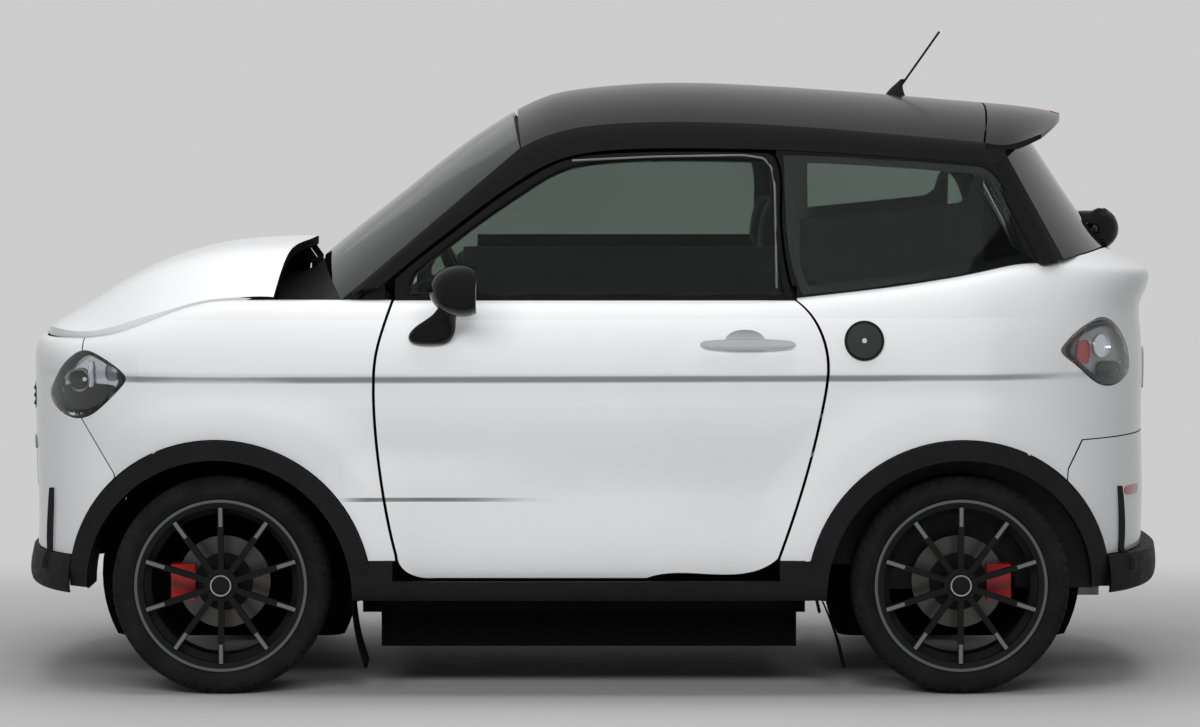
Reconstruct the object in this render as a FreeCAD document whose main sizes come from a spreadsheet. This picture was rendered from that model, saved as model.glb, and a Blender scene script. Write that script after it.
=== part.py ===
# A two-seat microcar: a light quadricycle with a short bonnet, two doors and a glass tailgate.
# Frame: +X forward, +Y to the car's left, +Z up. The origin is on the floor under the middle of the car.
# Lengths are in millimetres and angles in degrees.
import FreeCAD, Part
import Sketcher
import math
import os

V = FreeCAD.Vector

# Driving dimensions

SIZES = {
    "body_length": 2990,
    "body_width": 1500,
    "roof_height": 1557,
    "belt_height": 998,
    "sill_height": 242,
    "wheelbase": 1876,
    "front_overhang": 550,
    "track": 1240,
    "tyre_radius": 277,
    "tyre_width": 165,
    "rim_radius": 219,
    "rim_width": 146,
    "bead_depth": 16,
    "well_depth": 33,
    "rim_wall": 6,
    "spoke_count": 10,
    "spoke_width": 15,
    "hub_radius": 42,
    "stub_radius": 17,
    "stub_reach": 58,
    "disc_radius": 118,
    "disc_thickness": 12,
    "disc_offset": 48,
    "caliper_clearance": 6,
    "arch_radius": 395,
    "arch_drop": 22,
    "arch_trim_width": 52,
    "liner_thickness": 5,
    "panel_gap": 7.5,
    "fixed_gap": 3,
    "lamp_gap": 0.8,
    "contact_gap": 0.3,
    "skin_thickness": 8,
    "door_thickness": 56,
    "glass_thickness": 5,
    "frame_depth": 24,
    "rail_depth": 42,
    "lid_thickness": 22,
    "floor_height": 200,
    "tray_height": 106,
    "floor_thickness": 20,
    "cabin_half_width": 598,
    "sill_beam_width": 50,
    "sill_beam_height": 145,
    "hinge_setback": 80,
    "hinge_inset": 19,
    "hinge_pin_radius": 3.5,
    "kingpin_y": 546,
    "kingpin_radius": 11,
    "sleeve_wall": 8,
    "seat_width": 430,
    "steering_wheel_radius": 178,
    "steering_rim_radius": 14,
    "antenna_length": 205,
}

doc = FreeCAD.newDocument("microcar")
sheet = doc.addObject("Spreadsheet::Sheet", "Sizes")
for row, (alias, value) in enumerate(SIZES.items(), start=1):
    sheet.set(f"A{row}", alias)
    sheet.set(f"B{row}", str(value))
    sheet.setAlias(f"B{row}", alias)
doc.recompute()


class Bound(float):
    """A number that remembers the sheet expression it was worked out from."""

    def __new__(cls, value, text):
        number = super().__new__(cls, value)
        number.text = text
        return number

    def __add__(self, other):
        return Bound(float(self) + float(other), f"({self.text} + {text_of(other)})")

    def __radd__(self, other):
        return Bound(float(other) + float(self), f"({text_of(other)} + {self.text})")

    def __sub__(self, other):
        return Bound(float(self) - float(other), f"({self.text} - {text_of(other)})")

    def __rsub__(self, other):
        return Bound(float(other) - float(self), f"({text_of(other)} - {self.text})")

    def __mul__(self, other):
        return Bound(float(self) * float(other), f"({self.text} * {text_of(other)})")

    def __rmul__(self, other):
        return Bound(float(other) * float(self), f"({text_of(other)} * {self.text})")

    def __truediv__(self, other):
        return Bound(float(self) / float(other), f"({self.text} / {text_of(other)})")

    def __neg__(self):
        return Bound(-float(self), f"(-{self.text})")


def text_of(value):
    return value.text if isinstance(value, Bound) else f"{float(value):.6f}"


def cell(alias):
    return Bound(float(sheet.get(alias)), f"Sizes.{alias}")


def size(alias):
    return float(sheet.get(alias))


# Places that several pieces share

NOSE = cell("body_length") / 2
AXLE_F = NOSE - cell("front_overhang")
AXLE_R = AXLE_F - cell("wheelbase")
WHEEL_Z = cell("tyre_radius")
WHEEL_Y = cell("track") / 2
FLOOR_TOP = cell("floor_height") + cell("floor_thickness")
SILL_BEAM_TOP = cell("floor_height") + cell("sill_beam_height")
CABIN_Y = cell("cabin_half_width")
CRADLE_TOP = WHEEL_Z - 45
RAIL_FOOT = WHEEL_Z + 53
BOOT_FLOOR = WHEEL_Z + 138
TOWER_TOP = WHEEL_Z + 423
PIN_LOW = WHEEL_Z - 99
PIN_HIGH = WHEEL_Z + 79
PLATE = 12
EAR_THICK = 18
REAR_LINER_Y = 524
TOWER_WALL_Y = 374
TOWER_REACH = 520

FRONT_X = float(AXLE_F)
REAR_X = float(AXLE_R)
NOSE_X = float(NOSE)
AXLE_Z = float(WHEEL_Z)
GAP = size("panel_gap")
SEAM = size("fixed_gap")
TOUCH = size("contact_gap")
FAR = 900
LONG = 3000

# The outlines below are drawn for these sizes, and the place functions fit them to the sheet's.
DRAWN_AXLE_F = 945
DRAWN_AXLE_R = -931
DRAWN_NOSE = 1495
DRAWN_SILL = 242
DRAWN_BELT = 998
DRAWN_ROOF = 1557
DRAWN_HALF_WIDTH = 750


def mix(a, b, t):
    return a + (b - a) * t


def place_x(x):
    """A drawn distance along the car, fitted to the nose, the axles and the tail."""
    if x > DRAWN_AXLE_F:
        return AXLE_F + (NOSE - AXLE_F) * ((x - DRAWN_AXLE_F) / (DRAWN_NOSE - DRAWN_AXLE_F))
    if x < DRAWN_AXLE_R:
        return AXLE_R - (NOSE + AXLE_R) * ((DRAWN_AXLE_R - x) / (DRAWN_AXLE_R + DRAWN_NOSE))
    return AXLE_R + (AXLE_F - AXLE_R) * ((x - DRAWN_AXLE_R) / (DRAWN_AXLE_F - DRAWN_AXLE_R))


def place_y(y):
    """A drawn distance from the middle plane, fitted to the width."""
    return cell("body_width") / 2 * (y / DRAWN_HALF_WIDTH)


def place_z(z):
    """A drawn height, fitted to the sill, the belt line and the roof."""
    belt, sill = cell("belt_height"), cell("sill_height")
    if z > DRAWN_BELT:
        return belt + (cell("roof_height") - belt) * ((z - DRAWN_BELT) / (DRAWN_ROOF - DRAWN_BELT))
    return sill + (belt - sill) * ((z - DRAWN_SILL) / (DRAWN_BELT - DRAWN_SILL))


def along(x):
    return float(place_x(x))


def out(y):
    return float(place_y(y))


def up(z):
    return float(place_z(z))


ARCH_RADIUS = size("arch_radius")
LINER_RADIUS = ARCH_RADIUS - size("arch_trim_width")
FRONT_ARCH = (FRONT_X + 8, AXLE_Z - size("arch_drop"))
REAR_ARCH = (REAR_X - 1, AXLE_Z - size("arch_drop"))
HINGE_X = along(551) - size("hinge_setback")
HINGE_Y = out(735) - size("hinge_inset")
TOP_CUT = 1300


# Curves and surfaces from drawn points


def smooth(t):
    t = max(0.0, min(1.0, t))
    return t * t * (3 - 2 * t)


def curve_at(keys, x):
    """Reads a rounded line through (x, value) keys."""
    keys = sorted(keys)
    if x <= keys[0][0]:
        return keys[0][1]
    if x >= keys[-1][0]:
        return keys[-1][1]
    i = max(k for k in range(len(keys) - 1) if keys[k][0] <= x)
    (x0, v0), (x1, v1) = keys[i], keys[i + 1]
    before = keys[i - 1] if i else (2 * x0 - x1, 2 * v0 - v1)
    after = keys[i + 2] if i + 2 < len(keys) else (2 * x1 - x0, 2 * v1 - v0)
    run = x1 - x0
    m0 = (v1 - before[1]) / (x1 - before[0]) * run
    m1 = (after[1] - v0) / (after[0] - x0) * run
    t = (x - x0) / run
    bend = t * (1 - t)
    return mix(v0, v1, smooth(t)) + bend * (1 - t) * m0 - bend * t * m1


def knots_of(count, degree):
    spans = count - degree
    return [float(k) for k in range(spans + 1)], [degree + 1] + [1] * (spans - 1) + [degree + 1]


def net_face(net):
    """A smooth face that follows a net of control points, cubic where the net has rows enough."""
    degree_u = min(3, len(net) - 1)
    degree_v = min(3, len(net[0]) - 1)
    knots_u, mults_u = knots_of(len(net), degree_u)
    knots_v, mults_v = knots_of(len(net[0]), degree_v)
    surface = Part.BSplineSurface()
    surface.buildFromPolesMultsKnots(
        net, mults_u, mults_v, knots_u, knots_v, False, False, degree_u, degree_v
    )
    return surface.toShape()


def slab(outer, inner):
    """The solid between two nets of the same shape."""
    faces = [net_face(outer), net_face(inner)]
    for i in (0, len(outer) - 1):
        faces.append(net_face([outer[i], inner[i]]))
    for j in (0, len(outer[0]) - 1):
        faces.append(net_face([[r[j] for r in outer], [r[j] for r in inner]]))
    shell = Part.makeShell(faces)
    shell.sewShape()
    solid = Part.makeSolid(shell)
    if solid.Volume < 0:
        solid.reverse()
    return solid


def moved(net, dx, dy, dz):
    return [[p + V(dx, dy, dz) for p in line] for line in net]


def mirrored(shape):
    return shape.mirror(V(0, 0, 0), V(0, 1, 0))


def pair(shape):
    """A left piece and its mirror image, as two solids."""
    return Part.makeCompound([shape, mirrored(shape)])


def largest(shape):
    """The biggest solid that a cut leaves."""
    return max(shape.Solids, key=lambda s: s.Volume)


def outermost(shape):
    """The solid of a cut that lies furthest from the middle of the car."""
    return max(shape.Solids, key=lambda s: s.CenterOfMass.y)


def fused(shapes):
    return shapes[0].fuse(shapes[1:]).removeSplitter()


# Prisms that trim the surfaces


def wire_of(runs, place):
    """A closed wire of runs of points: two points make a line and more make one smooth curve."""
    edges = []
    for run in runs:
        points = [place(*p) for p in run]
        if len(points) == 2:
            edges.append(Part.LineSegment(*points).toShape())
        else:
            curve = Part.BSplineCurve()
            curve.interpolate(points)
            edges.append(curve.toShape())
    return Part.Wire(edges)


def side_prism(runs, y0, y1):
    """Runs of (x, z) points in side view, cut through from y0 to y1."""
    wire = wire_of(runs, lambda x, z: V(x, y0, z))
    return Part.Face(wire).extrude(V(0, y1 - y0, 0))


def front_prism(runs, x0, x1):
    """Runs of (y, z) points in front view, cut through from x0 to x1."""
    wire = wire_of(runs, lambda y, z: V(x0, y, z))
    return Part.Face(wire).extrude(V(x1 - x0, 0, 0))


def plan_prism(runs, z0, z1):
    """Runs of (x, y) points in plan view, cut through from z0 to z1."""
    wire = wire_of(runs, lambda x, y: V(x, y, z0))
    return Part.Face(wire).extrude(V(0, 0, z1 - z0))


def straight(points):
    """A closed outline of straight sides, as runs."""
    return [[a, b] for a, b in zip(points, points[1:] + points[:1])]


def path(points):
    """Straight runs through the points, left open."""
    return [[a, b] for a, b in zip(points, points[1:])]


def block(x0, x1, y0, y1, z0, z1):
    return Part.makeBox(x1 - x0, y1 - y0, z1 - z0, V(x0, y0, z0))


def grown(runs, amount):
    """The same closed outline, moved out square to itself."""
    loop = [p for run in runs for p in run[:-1]]
    count = len(loop)
    area = sum(loop[i - 1][0] * loop[i][1] - loop[i][0] * loop[i - 1][1] for i in range(count))
    side = 1 if area > 0 else -1
    shifted = []
    for i, (a, b) in enumerate(loop):
        before = V(a - loop[i - 1][0], b - loop[i - 1][1], 0).normalize()
        after = V(loop[(i + 1) % count][0] - a, loop[(i + 1) % count][1] - b, 0).normalize()
        edge = (before + after).normalize()
        reach = amount * side / max(0.5, math.sqrt((1 + before.dot(after)) / 2))
        shifted.append((a + edge.y * reach, b - edge.x * reach))
    result, start = [], 0
    for run in runs:
        end = start + len(run) - 1
        result.append([shifted[k % count] for k in range(start, end + 1)])
        start = end
    return result


# Sub-parts in the document

NODES = []


def piece(name, shape):
    """Puts a shape made with curved surfaces in the document as one named sub-part."""
    feature = doc.addObject("Part::Feature", name)
    feature.Label = name
    feature.Shape = shape
    NODES.append(feature)


def finish(item, name):
    """Names a document object as a sub-part."""
    item.Label = name
    NODES.append(item)
    return item


def box(name, x, y, z):
    """A block between (low, high) bounds that stay tied to the sheet."""
    item = doc.addObject("Part::Box", name)
    for axis, side, (low, high) in zip("xyz", ("Length", "Width", "Height"), (x, y, z)):
        item.setExpression(side, text_of(high - low))
        item.setExpression(f"Placement.Base.{axis}", text_of(low))
    return item


def rod(name, radius, length, base, direction=(0, 0, 1)):
    """A cylinder from its base along a direction, tied to the sheet."""
    item = doc.addObject("Part::Cylinder", name)
    item.Placement = FreeCAD.Placement(V(), FreeCAD.Rotation(V(0, 0, 1), V(*direction)))
    item.setExpression("Radius", text_of(radius))
    item.setExpression("Height", text_of(length))
    for axis, value in zip("xyz", base):
        item.setExpression(f"Placement.Base.{axis}", text_of(value))
    return item


def fuse(name, items):
    item = doc.addObject("Part::MultiFuse", name)
    item.Shapes = items
    return item


def cut(name, base, tool):
    item = doc.addObject("Part::Cut", name)
    item.Base = base
    item.Tool = tool
    return item


def gather(name, items):
    """Solids that stand against each other in one sub-part."""
    item = doc.addObject("Part::Compound", name)
    item.Links = items
    return item


def mirror(name, source):
    item = doc.addObject("Part::Mirroring", name)
    item.Source = source
    item.Normal = V(0, 1, 0)
    return item


# The lower body's side surface runs from the nose's middle round the left side to the tail's middle.
# Plan stations: the corners hang on nose and tail, and the side is spaced between them.

NOSE_CORNER = [
    (1478, 0), (1478, 110), (1472, 240), (1450, 365), (1403, 480), (1328, 575), (1233, 642), (1128, 688),
]
TAIL_CORNER = [
    (-1063, 702), (-1168, 662), (-1268, 602), (-1353, 512), (-1412, 395), (-1446, 265), (-1458, 120),
    (-1458, 0),
]
WING_PLAN = [(650, 731), (800, 729), (920, 722), (1056, 706), (1128, 688)]
SIDE_STATIONS = 29
SIDE_BULGE = 13
SIDE_HALF_WIDTH = 737

# Height of the shoulder, where the side turns in under the bonnet, the glass or the tailgate
SHOULDER = [
    (1478, 892), (1403, 894), (1310, 898), (1245, 910), (1125, 956), (995, 993), (885, 998), (245, 998),
    (-461, 998), (-531, 1005), (-771, 1032), (-1021, 1072), (-1141, 1094), (-1231, 1096), (-1458, 1076),
]

# Rows up to the crease: drawn height, and how far the side, the front and the rear stand in there
LOWER_ROWS = [
    (242, 46, 26, 30), (272, 28, 14, 16), (308, 16, 6, 8), (345, 9, 4, 4), (390, 7, 6, 2), (450, 10, 7, 0),
    (520, 13, 5, 0), (600, 14, 2, 3), (680, 12, 0, 5), (750, 10, 0, 4), (784, 9, 0, 3), (798, 9, 0, 3),
    (804, 7, 0, 3), (814, 0, 0, 3), (819, -1, 0, 3),
]
# Rows above it: share of the way to the shoulder, the three insets, how far over the surface has
# turned in degrees, and a lift for the ledge under the tailgate
UPPER_ROWS = [
    (0.20, -1, 0, 4, 0, 0), (0.40, 2, 0, 9, 6, 0), (0.60, 9, 3, 16, 14, 0), (0.76, 19, 7, -8, 26, 0),
    (0.88, 31, 12, -15, 42, 0), (0.97, 46, 18, -10, 62, 0), (1.00, 62, 24, 16, 80, 2),
    (1.01, 80, 32, 95, 90, 42),
]
FLANGE_INSET = UPPER_ROWS[-1][1]
FRONT_FLANGE_INSET = UPPER_ROWS[-1][2]
FLARE = 15
FLARE_REACH = 150


def plan_stations():
    """(x, y, share of front, share of rear) round the widest outline."""
    stations = [(along(x), out(y), smooth((640 - y) / 260), 0.0) for x, y in NOSE_CORNER]
    first, last = NOSE_CORNER[-1][0] - 72, TAIL_CORNER[0][0] + 72
    for i in range(SIDE_STATIONS):
        x = mix(first, last, i / (SIDE_STATIONS - 1))
        y = SIDE_HALF_WIDTH - SIDE_BULGE * (x / DRAWN_AXLE_F) ** 2
        if x > WING_PLAN[0][0]:
            y = curve_at(WING_PLAN, x)
        stations.append((along(x), out(y), 0.0, 0.0))
    stations += [(along(x), out(y), 0.0, smooth((660 - y) / 260)) for x, y in TAIL_CORNER]
    return stations


def outward(stations):
    """Unit vectors square to the plan outline."""
    normals = []
    for i in range(len(stations)):
        before = stations[max(i - 1, 0)]
        after = stations[min(i + 1, len(stations) - 1)]
        normals.append(V(after[1] - before[1], before[0] - after[0], 0).normalize())
    normals[0], normals[-1] = V(1, 0, 0), V(-1, 0, 0)
    return normals


def flare(x, z):
    """How far the wings swell out beside the wheel arches."""
    most = 0.0
    for arch_x, arch_z in (FRONT_ARCH, REAR_ARCH):
        beyond = math.hypot(x - arch_x, z - arch_z) - ARCH_RADIUS
        most = max(most, 1 - smooth(beyond / FLARE_REACH))
    return out(FLARE) * most


def shoulder_at(x):
    return curve_at([(along(sx), up(sz)) for sx, sz in SHOULDER], x)


STATIONS = plan_stations()
OUTWARD = outward(STATIONS)


def side_net(depth):
    """The side's control net, moved in from the skin by depth, or out where depth is negative."""
    net = []
    crease_z = up(LOWER_ROWS[-1][0])
    for (x, y, front, rear), normal in zip(STATIONS, OUTWARD):
        shoulder = shoulder_at(x)
        rows = [(up(z), s, f, r, 0, 0) for z, s, f, r in LOWER_ROWS]
        rows += [(mix(crease_z, shoulder, t), s, f, r, turn, lift) for t, s, f, r, turn, lift in UPPER_ROWS]
        line = []
        for z, s, f, r, turn, lift in rows:
            inset = mix(mix(s, f, front), r, rear)
            swell = flare(x, z) * (1 - front) * (1 - rear)
            reach = swell - inset - depth * math.cos(math.radians(turn))
            drop = depth * math.sin(math.radians(turn))
            line.append(V(x, y, z + lift * rear - drop) + normal * reach)
        net.append(line)
    return net


def side_slab(proud, depth):
    """The left side, from a surface that stands proud of the skin to one at a depth behind it."""
    return slab(side_net(-proud), side_net(depth))


# Black trim along the foot of the body: drawn height, and how far the side, front and rear stand out
TRIM_ROWS = [
    (242, -14, -8, 4), (248, -2, 8, 24), (262, 8, 15, 34), (285, 12, 17, 37), (315, 12, 13, 36),
    (345, 11, 6, 32), (352, 10, 4, 28),
]
TRIM_DEPTH = 14


def trim_slab():
    """The left half of the trim strip round the foot of the body."""
    outer, inner = [], []
    for (x, y, front, rear), normal in zip(STATIONS, OUTWARD):
        reaches = [(up(z), mix(mix(s, f, front), r, rear)) for z, s, f, r in TRIM_ROWS]
        outer.append([V(x, y, z) + normal * reach for z, reach in reaches])
        inner.append([V(x, y, z) + normal * (min(reach, 0) - TRIM_DEPTH) for z, reach in reaches])
    return slab(outer, inner)


# Outlines in side view


def drawn(points, shift=0):
    """Drawn (x, z) points fitted to the sizes and moved forward by shift."""
    return [(along(x) + shift, up(z)) for x, z in points]


DOOR_FRONT = [(505, 998), (525, 938), (544, 868), (551, 798), (549, 698), (536, 568), (514, 438), (495, 358)]
DOOR_REAR = [
    (-464, 350), (-494, 435), (-543, 595), (-577, 745), (-587, 840), (-575, 905), (-544, 965), (-507, 1000),
]
DOOR_BOTTOM = 300
BODY_BOTTOM = 345
HEADLAMP = [
    (1398, 765), (1372, 812), (1335, 852), (1302, 868), (1256, 856), (1212, 830), (1187, 801),
    (1204, 773), (1240, 738), (1280, 706), (1320, 694), (1364, 706), (1394, 735),
]
TAIL_LAMP = [
    (-1188, 880), (-1222, 915), (-1262, 940), (-1303, 952), (-1340, 930), (-1366, 893),
    (-1381, 846), (-1378, 808), (-1350, 782), (-1312, 776), (-1264, 800), (-1220, 838),
]
BUMPER_SEAM = [(1190, 225), (1220, 558), (1309, 692), (1305, 1080)]
REAR_SEAM = [(-1180, 225), (-1208, 568), (-1247, 640), (-1540, 645)]
TAIL_PANEL_Y = 300


def door_outline():
    """The door below the glass, out to its own edge."""
    front = drawn(DOOR_FRONT)
    rear = drawn(DOOR_REAR)
    foot = drawn([DOOR_FRONT[-1], (479, 322), (443, 303), (405, DOOR_BOTTOM)])
    heel = drawn([(-134, DOOR_BOTTOM), (-314, 309), (-419, 322), DOOR_REAR[0]])
    top = up(DRAWN_BELT + 30)
    corners = [rear[-1], (rear[-1][0], top), (front[0][0], top), front[0]]
    return [front, foot, [foot[-1], heel[0]], heel, rear] + path(corners)


def lamp_prism(points, grow):
    """A lamp's outline, one closed smooth curve grown about its middle."""
    ring = drawn(points)
    cx = sum(p[0] for p in ring) / len(ring)
    cz = sum(p[1] for p in ring) / len(ring)
    around = []
    for x, z in ring:
        reach = math.hypot(x - cx, z - cz)
        around.append(V(x + (x - cx) * grow / reach, 0, z + (z - cz) * grow / reach))
    curve = Part.BSplineCurve()
    curve.interpolate(around, PeriodicFlag=True)
    return Part.Face(Part.Wire(curve.toShape())).extrude(V(0, FAR, 0))


def arch_disc(arch, radius):
    return Part.makeCylinder(radius, FAR, V(arch[0], 0, arch[1]), V(0, 1, 0))


def ahead_of_seam(shift):
    line = drawn(BUMPER_SEAM, shift)
    return straight(line + [(NOSE_X + FAR, line[-1][1]), (NOSE_X + FAR, line[0][1])])


def below_rear_seam(shift):
    line = [(x - shift, z - shift) for x, z in drawn(REAR_SEAM)]
    return straight(line + [(line[-1][0], line[0][1])])


SKIN = side_slab(0, size("skin_thickness"))
# Brackets are cut to this, so that they end within the skin they carry
OUTSIDE = side_slab(80, 3)
NEAR_SKIN = side_slab(TOUCH, 10)
BODY_FOOT = block(-LONG, LONG, -FAR, FAR, 0, up(BODY_BOTTOM))
BRACKET_END = NOSE_X - 5


def to_skin(bounds):
    """A bracket that reaches out to the middle of the skin."""
    return largest(block(*bounds).cut(OUTSIDE))


def make_wings():
    line = drawn(DOOR_FRONT, GAP)
    top = up(TOP_CUT)
    low = up(DOOR_BOTTOM)
    ends = [line[-1], (line[-1][0] - 4, low), (NOSE_X, low), (NOSE_X, top), (line[0][0], top), line[0]]
    zone = side_prism([line] + path(ends), 0, FAR)
    wing = SKIN.common(zone).cut([BODY_FOOT, side_prism(ahead_of_seam(-SEAM), 0, FAR)])
    wing = largest(wing.cut([arch_disc(FRONT_ARCH, ARCH_RADIUS), lamp_prism(HEADLAMP, size("lamp_gap"))]))
    z = float(TOWER_TOP)
    hold = to_skin((FRONT_X - 30, FRONT_X + 30, TOWER_REACH + TOUCH, out(760), z, z + PLATE))
    piece("front_wings", pair(fused([wing, hold])))


def make_rear_skin():
    """Everything behind the door above the rear bumper, as one left half."""
    line = drawn(DOOR_REAR, -GAP)
    top, low, tail = up(TOP_CUT), up(DOOR_BOTTOM), -NOSE_X - FAR
    ends = [line[-1], (line[-1][0], top), (tail, top), (tail, low), (line[0][0] + 3, low), line[0]]
    zone = side_prism([line] + path(ends), 0, FAR)
    skin = SKIN.common(zone).cut([BODY_FOOT, side_prism(below_rear_seam(-SEAM), 0, FAR)])
    return skin.cut([arch_disc(REAR_ARCH, ARCH_RADIUS), lamp_prism(TAIL_LAMP, size("lamp_gap"))])


def make_quarters_and_tail():
    rear = make_rear_skin()
    split = out(TAIL_PANEL_Y)
    quarter = largest(rear.cut(block(-LONG, REAR_X - 150, -1, split + SEAM, 0, up(TOP_CUT))))
    z = float(TOWER_TOP)
    stay = block(along(-640), along(POST_BACK) - TOUCH, out(605), out(650), z, z + PLATE)
    arm = to_skin((along(-640), along(-600), out(605), out(760), z, z + PLATE))
    piece("quarter_panels", pair(fused([quarter, stay, arm])))
    tail = largest(rear.common(block(-LONG, REAR_X - 150, -1, split, 0, up(TOP_CUT))))
    hold = to_skin((-BRACKET_END, along(BOOT_END) - TOUCH, 100, 200, up(660), up(690)))
    tail = fused([tail, hold])
    piece("tail_panel", fused([tail, mirrored(tail)]))


def make_bumpers():
    """Bumper skins with the brackets that hold them."""
    front = SKIN.common(side_prism(ahead_of_seam(0), 0, FAR))
    front = front.cut([BODY_FOOT, lamp_prism(HEADLAMP, size("lamp_gap")), arch_disc(FRONT_ARCH, ARCH_RADIUS)])
    hold = to_skin((along(BEAM_FRONT) + TOUCH, BRACKET_END, 150, 220, up(380), up(410)))
    front = fused([largest(front), hold])
    piece("front_bumper", fused([front, mirrored(front)]))

    back = SKIN.common(side_prism(below_rear_seam(0), 0, FAR)).cut(BODY_FOOT)
    back = largest(back.cut(arch_disc(REAR_ARCH, ARCH_RADIUS)))
    hold = to_skin((-BRACKET_END, along(BOOT_END) - TOUCH, 100, 200, up(400), up(440)))
    back = fused([back, hold])
    piece("rear_bumper", fused([back, mirrored(back)]))


LAMP_DEPTH = 36


def make_lamps():
    body = side_slab(0, LAMP_DEPTH)
    for name, outline in (("headlamps", HEADLAMP), ("tail_lamps", TAIL_LAMP)):
        piece(name, pair(largest(body.common(lamp_prism(outline, 0)))))


ARCH_TRIM_PROUD = 13
ARCH_TRIM_DEPTH = 14


def make_lower_trim():
    """Arch lips with the strip along the sills, and the strips across the nose and the tail."""
    strip = trim_slab()
    lip_body = side_slab(ARCH_TRIM_PROUD, ARCH_TRIM_DEPTH)
    foot = up(DRAWN_SILL)
    lips = []
    for arch in (FRONT_ARCH, REAR_ARCH):
        ring = arch_disc(arch, ARCH_RADIUS - SEAM).cut(arch_disc(arch, LINER_RADIUS))
        lips.append(largest(lip_body.common(ring).cut(block(-LONG, LONG, 0, FAR, 0, foot + 20))))
    panel_foot = up(BODY_BOTTOM) - SEAM
    over_door = block(along(-470), along(508), 0, FAR, up(DOOR_BOTTOM) - GAP, 600)
    middle = strip.common(block(REAR_ARCH[0], FRONT_ARCH[0], 0, FAR, 0, panel_foot))
    arches = [arch_disc(arch, LINER_RADIUS) for arch in (FRONT_ARCH, REAR_ARCH)]
    middle = largest(middle.cut(arches + [over_door]))
    piece("side_trims", pair(fused(lips + [middle])))

    arches = [arch_disc(arch, ARCH_RADIUS) for arch in (FRONT_ARCH, REAR_ARCH)]
    across = []
    for x0, x1, stay0, stay1 in (
        (FRONT_ARCH[0], LONG, along(BEAM_FRONT) + TOUCH, along(1470)),
        (-LONG, REAR_ARCH[0], along(-1452), along(BOOT_END) - TOUCH),
    ):
        half = largest(strip.common(block(x0, x1, 0, FAR, 0, panel_foot)).cut(arches))
        half = fused([half, block(stay0, stay1, 60, 120, AXLE_Z + 27, AXLE_Z + 53)])
        across.append(fused([half, mirrored(half)]))
    piece("end_trims", Part.makeCompound(across))


# The glass and roof. Lines are drawn points (x, y, z), listed from the front of the car to the back.

# Edge of the windscreen and of the roof panel, from the foot of the windscreen pillar to the tail
UPPER_LINE = [
    (617, 655, 1018), (520, 632, 1101), (403, 601, 1201), (295, 583, 1293), (188, 565, 1384),
    (130, 551, 1414), (40, 544, 1438), (-130, 541, 1450), (-300, 540, 1450), (-476, 540, 1442),
    (-640, 540, 1430), (-782, 540, 1417), (-900, 540, 1407), (-1000, 540, 1397),
]
# Top edge of the side windows below it
LOWER_LINE = [
    (545, 665, 1030), (480, 648, 1086), (365, 620, 1176), (262, 603, 1255), (165, 589, 1320),
    (86, 580, 1361), (-16, 576, 1379), (-140, 574, 1384), (-271, 574, 1384), (-474, 574, 1381),
    (-640, 574, 1370), (-780, 574, 1361), (-900, 574, 1352), (-997, 572, 1343),
]
SCREEN_CENTRE = [(1104, 715), (1145, 668), (1260, 520), (1367, 386), (1463, 252), (1482, 212)]
SCREEN_EDGE_X = [(1000, 640), (1101, 520), (1201, 403), (1293, 295), (1384, 188)]
SCREEN_EDGE_Y = [(1000, 655), (1101, 632), (1201, 601), (1293, 583), (1384, 565)]
ROOF_CENTRE = [
    (206, 1486), (118, 1528), (-16, 1546), (-150, 1557), (-284, 1557), (-498, 1546), (-686, 1533),
    (-820, 1522), (-1034, 1504), (-1100, 1497),
]
ROOF_ROWS = [
    (206, 188), (168, 152), (118, 106), (40, 34), (-60, -60), (-180, -180), (-320, -320), (-470, -470),
    (-620, -620), (-770, -770), (-900, -895), (-1028, -992),
]
CROWN = 2.3
ACROSS = [-1, -0.9, -0.75, -0.5, -0.25, 0, 0.25, 0.5, 0.75, 0.9, 1]


def line_at(line, x):
    """(y, z) of a drawn line at a drawn x."""
    return curve_at([(p[0], p[1]) for p in line], x), curve_at([(p[0], p[2]) for p in line], x)


def arched(centre, edge, trim):
    """Points across the car from edge to edge, crowned between the middle and the edge."""
    points = []
    for share in ACROSS:
        bend = abs(share) ** CROWN
        x, z = mix(centre[0], edge[0], bend), mix(centre[1], edge[2], bend)
        points.append(V(along(x), share * (out(edge[1]) - trim), up(z)))
    return points


def screen_net():
    rows = []
    for step in range(8):
        z_mid, z_edge = mix(1104, 1480, step / 7), mix(1000, 1384, step / 7)
        centre = (curve_at(SCREEN_CENTRE, z_mid), z_mid)
        edge = (curve_at(SCREEN_EDGE_X, z_edge), curve_at(SCREEN_EDGE_Y, z_edge), z_edge)
        rows.append(arched(centre, edge, SEAM))
    return rows


def screen_inward():
    """The step from the windscreen's outer face to its inner face."""
    depth = size("glass_thickness")
    return -depth * 0.76, 0, -depth * 0.65


def roof_net(rows, trim):
    net = []
    for x_mid, x_edge in rows:
        y, z = line_at(UPPER_LINE, x_edge)
        net.append(arched((x_mid - SEAM, curve_at(ROOF_CENTRE, x_mid)), (x_edge - SEAM, y, z), trim))
    return net


def make_roof():
    roof = roof_net(ROOF_ROWS, SEAM)
    piece("roof_panel", slab(roof, moved(roof, 0, 0, -size("lid_thickness"))))
    screen = screen_net()
    piece("windscreen", slab(screen, moved(screen, *screen_inward())))


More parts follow.
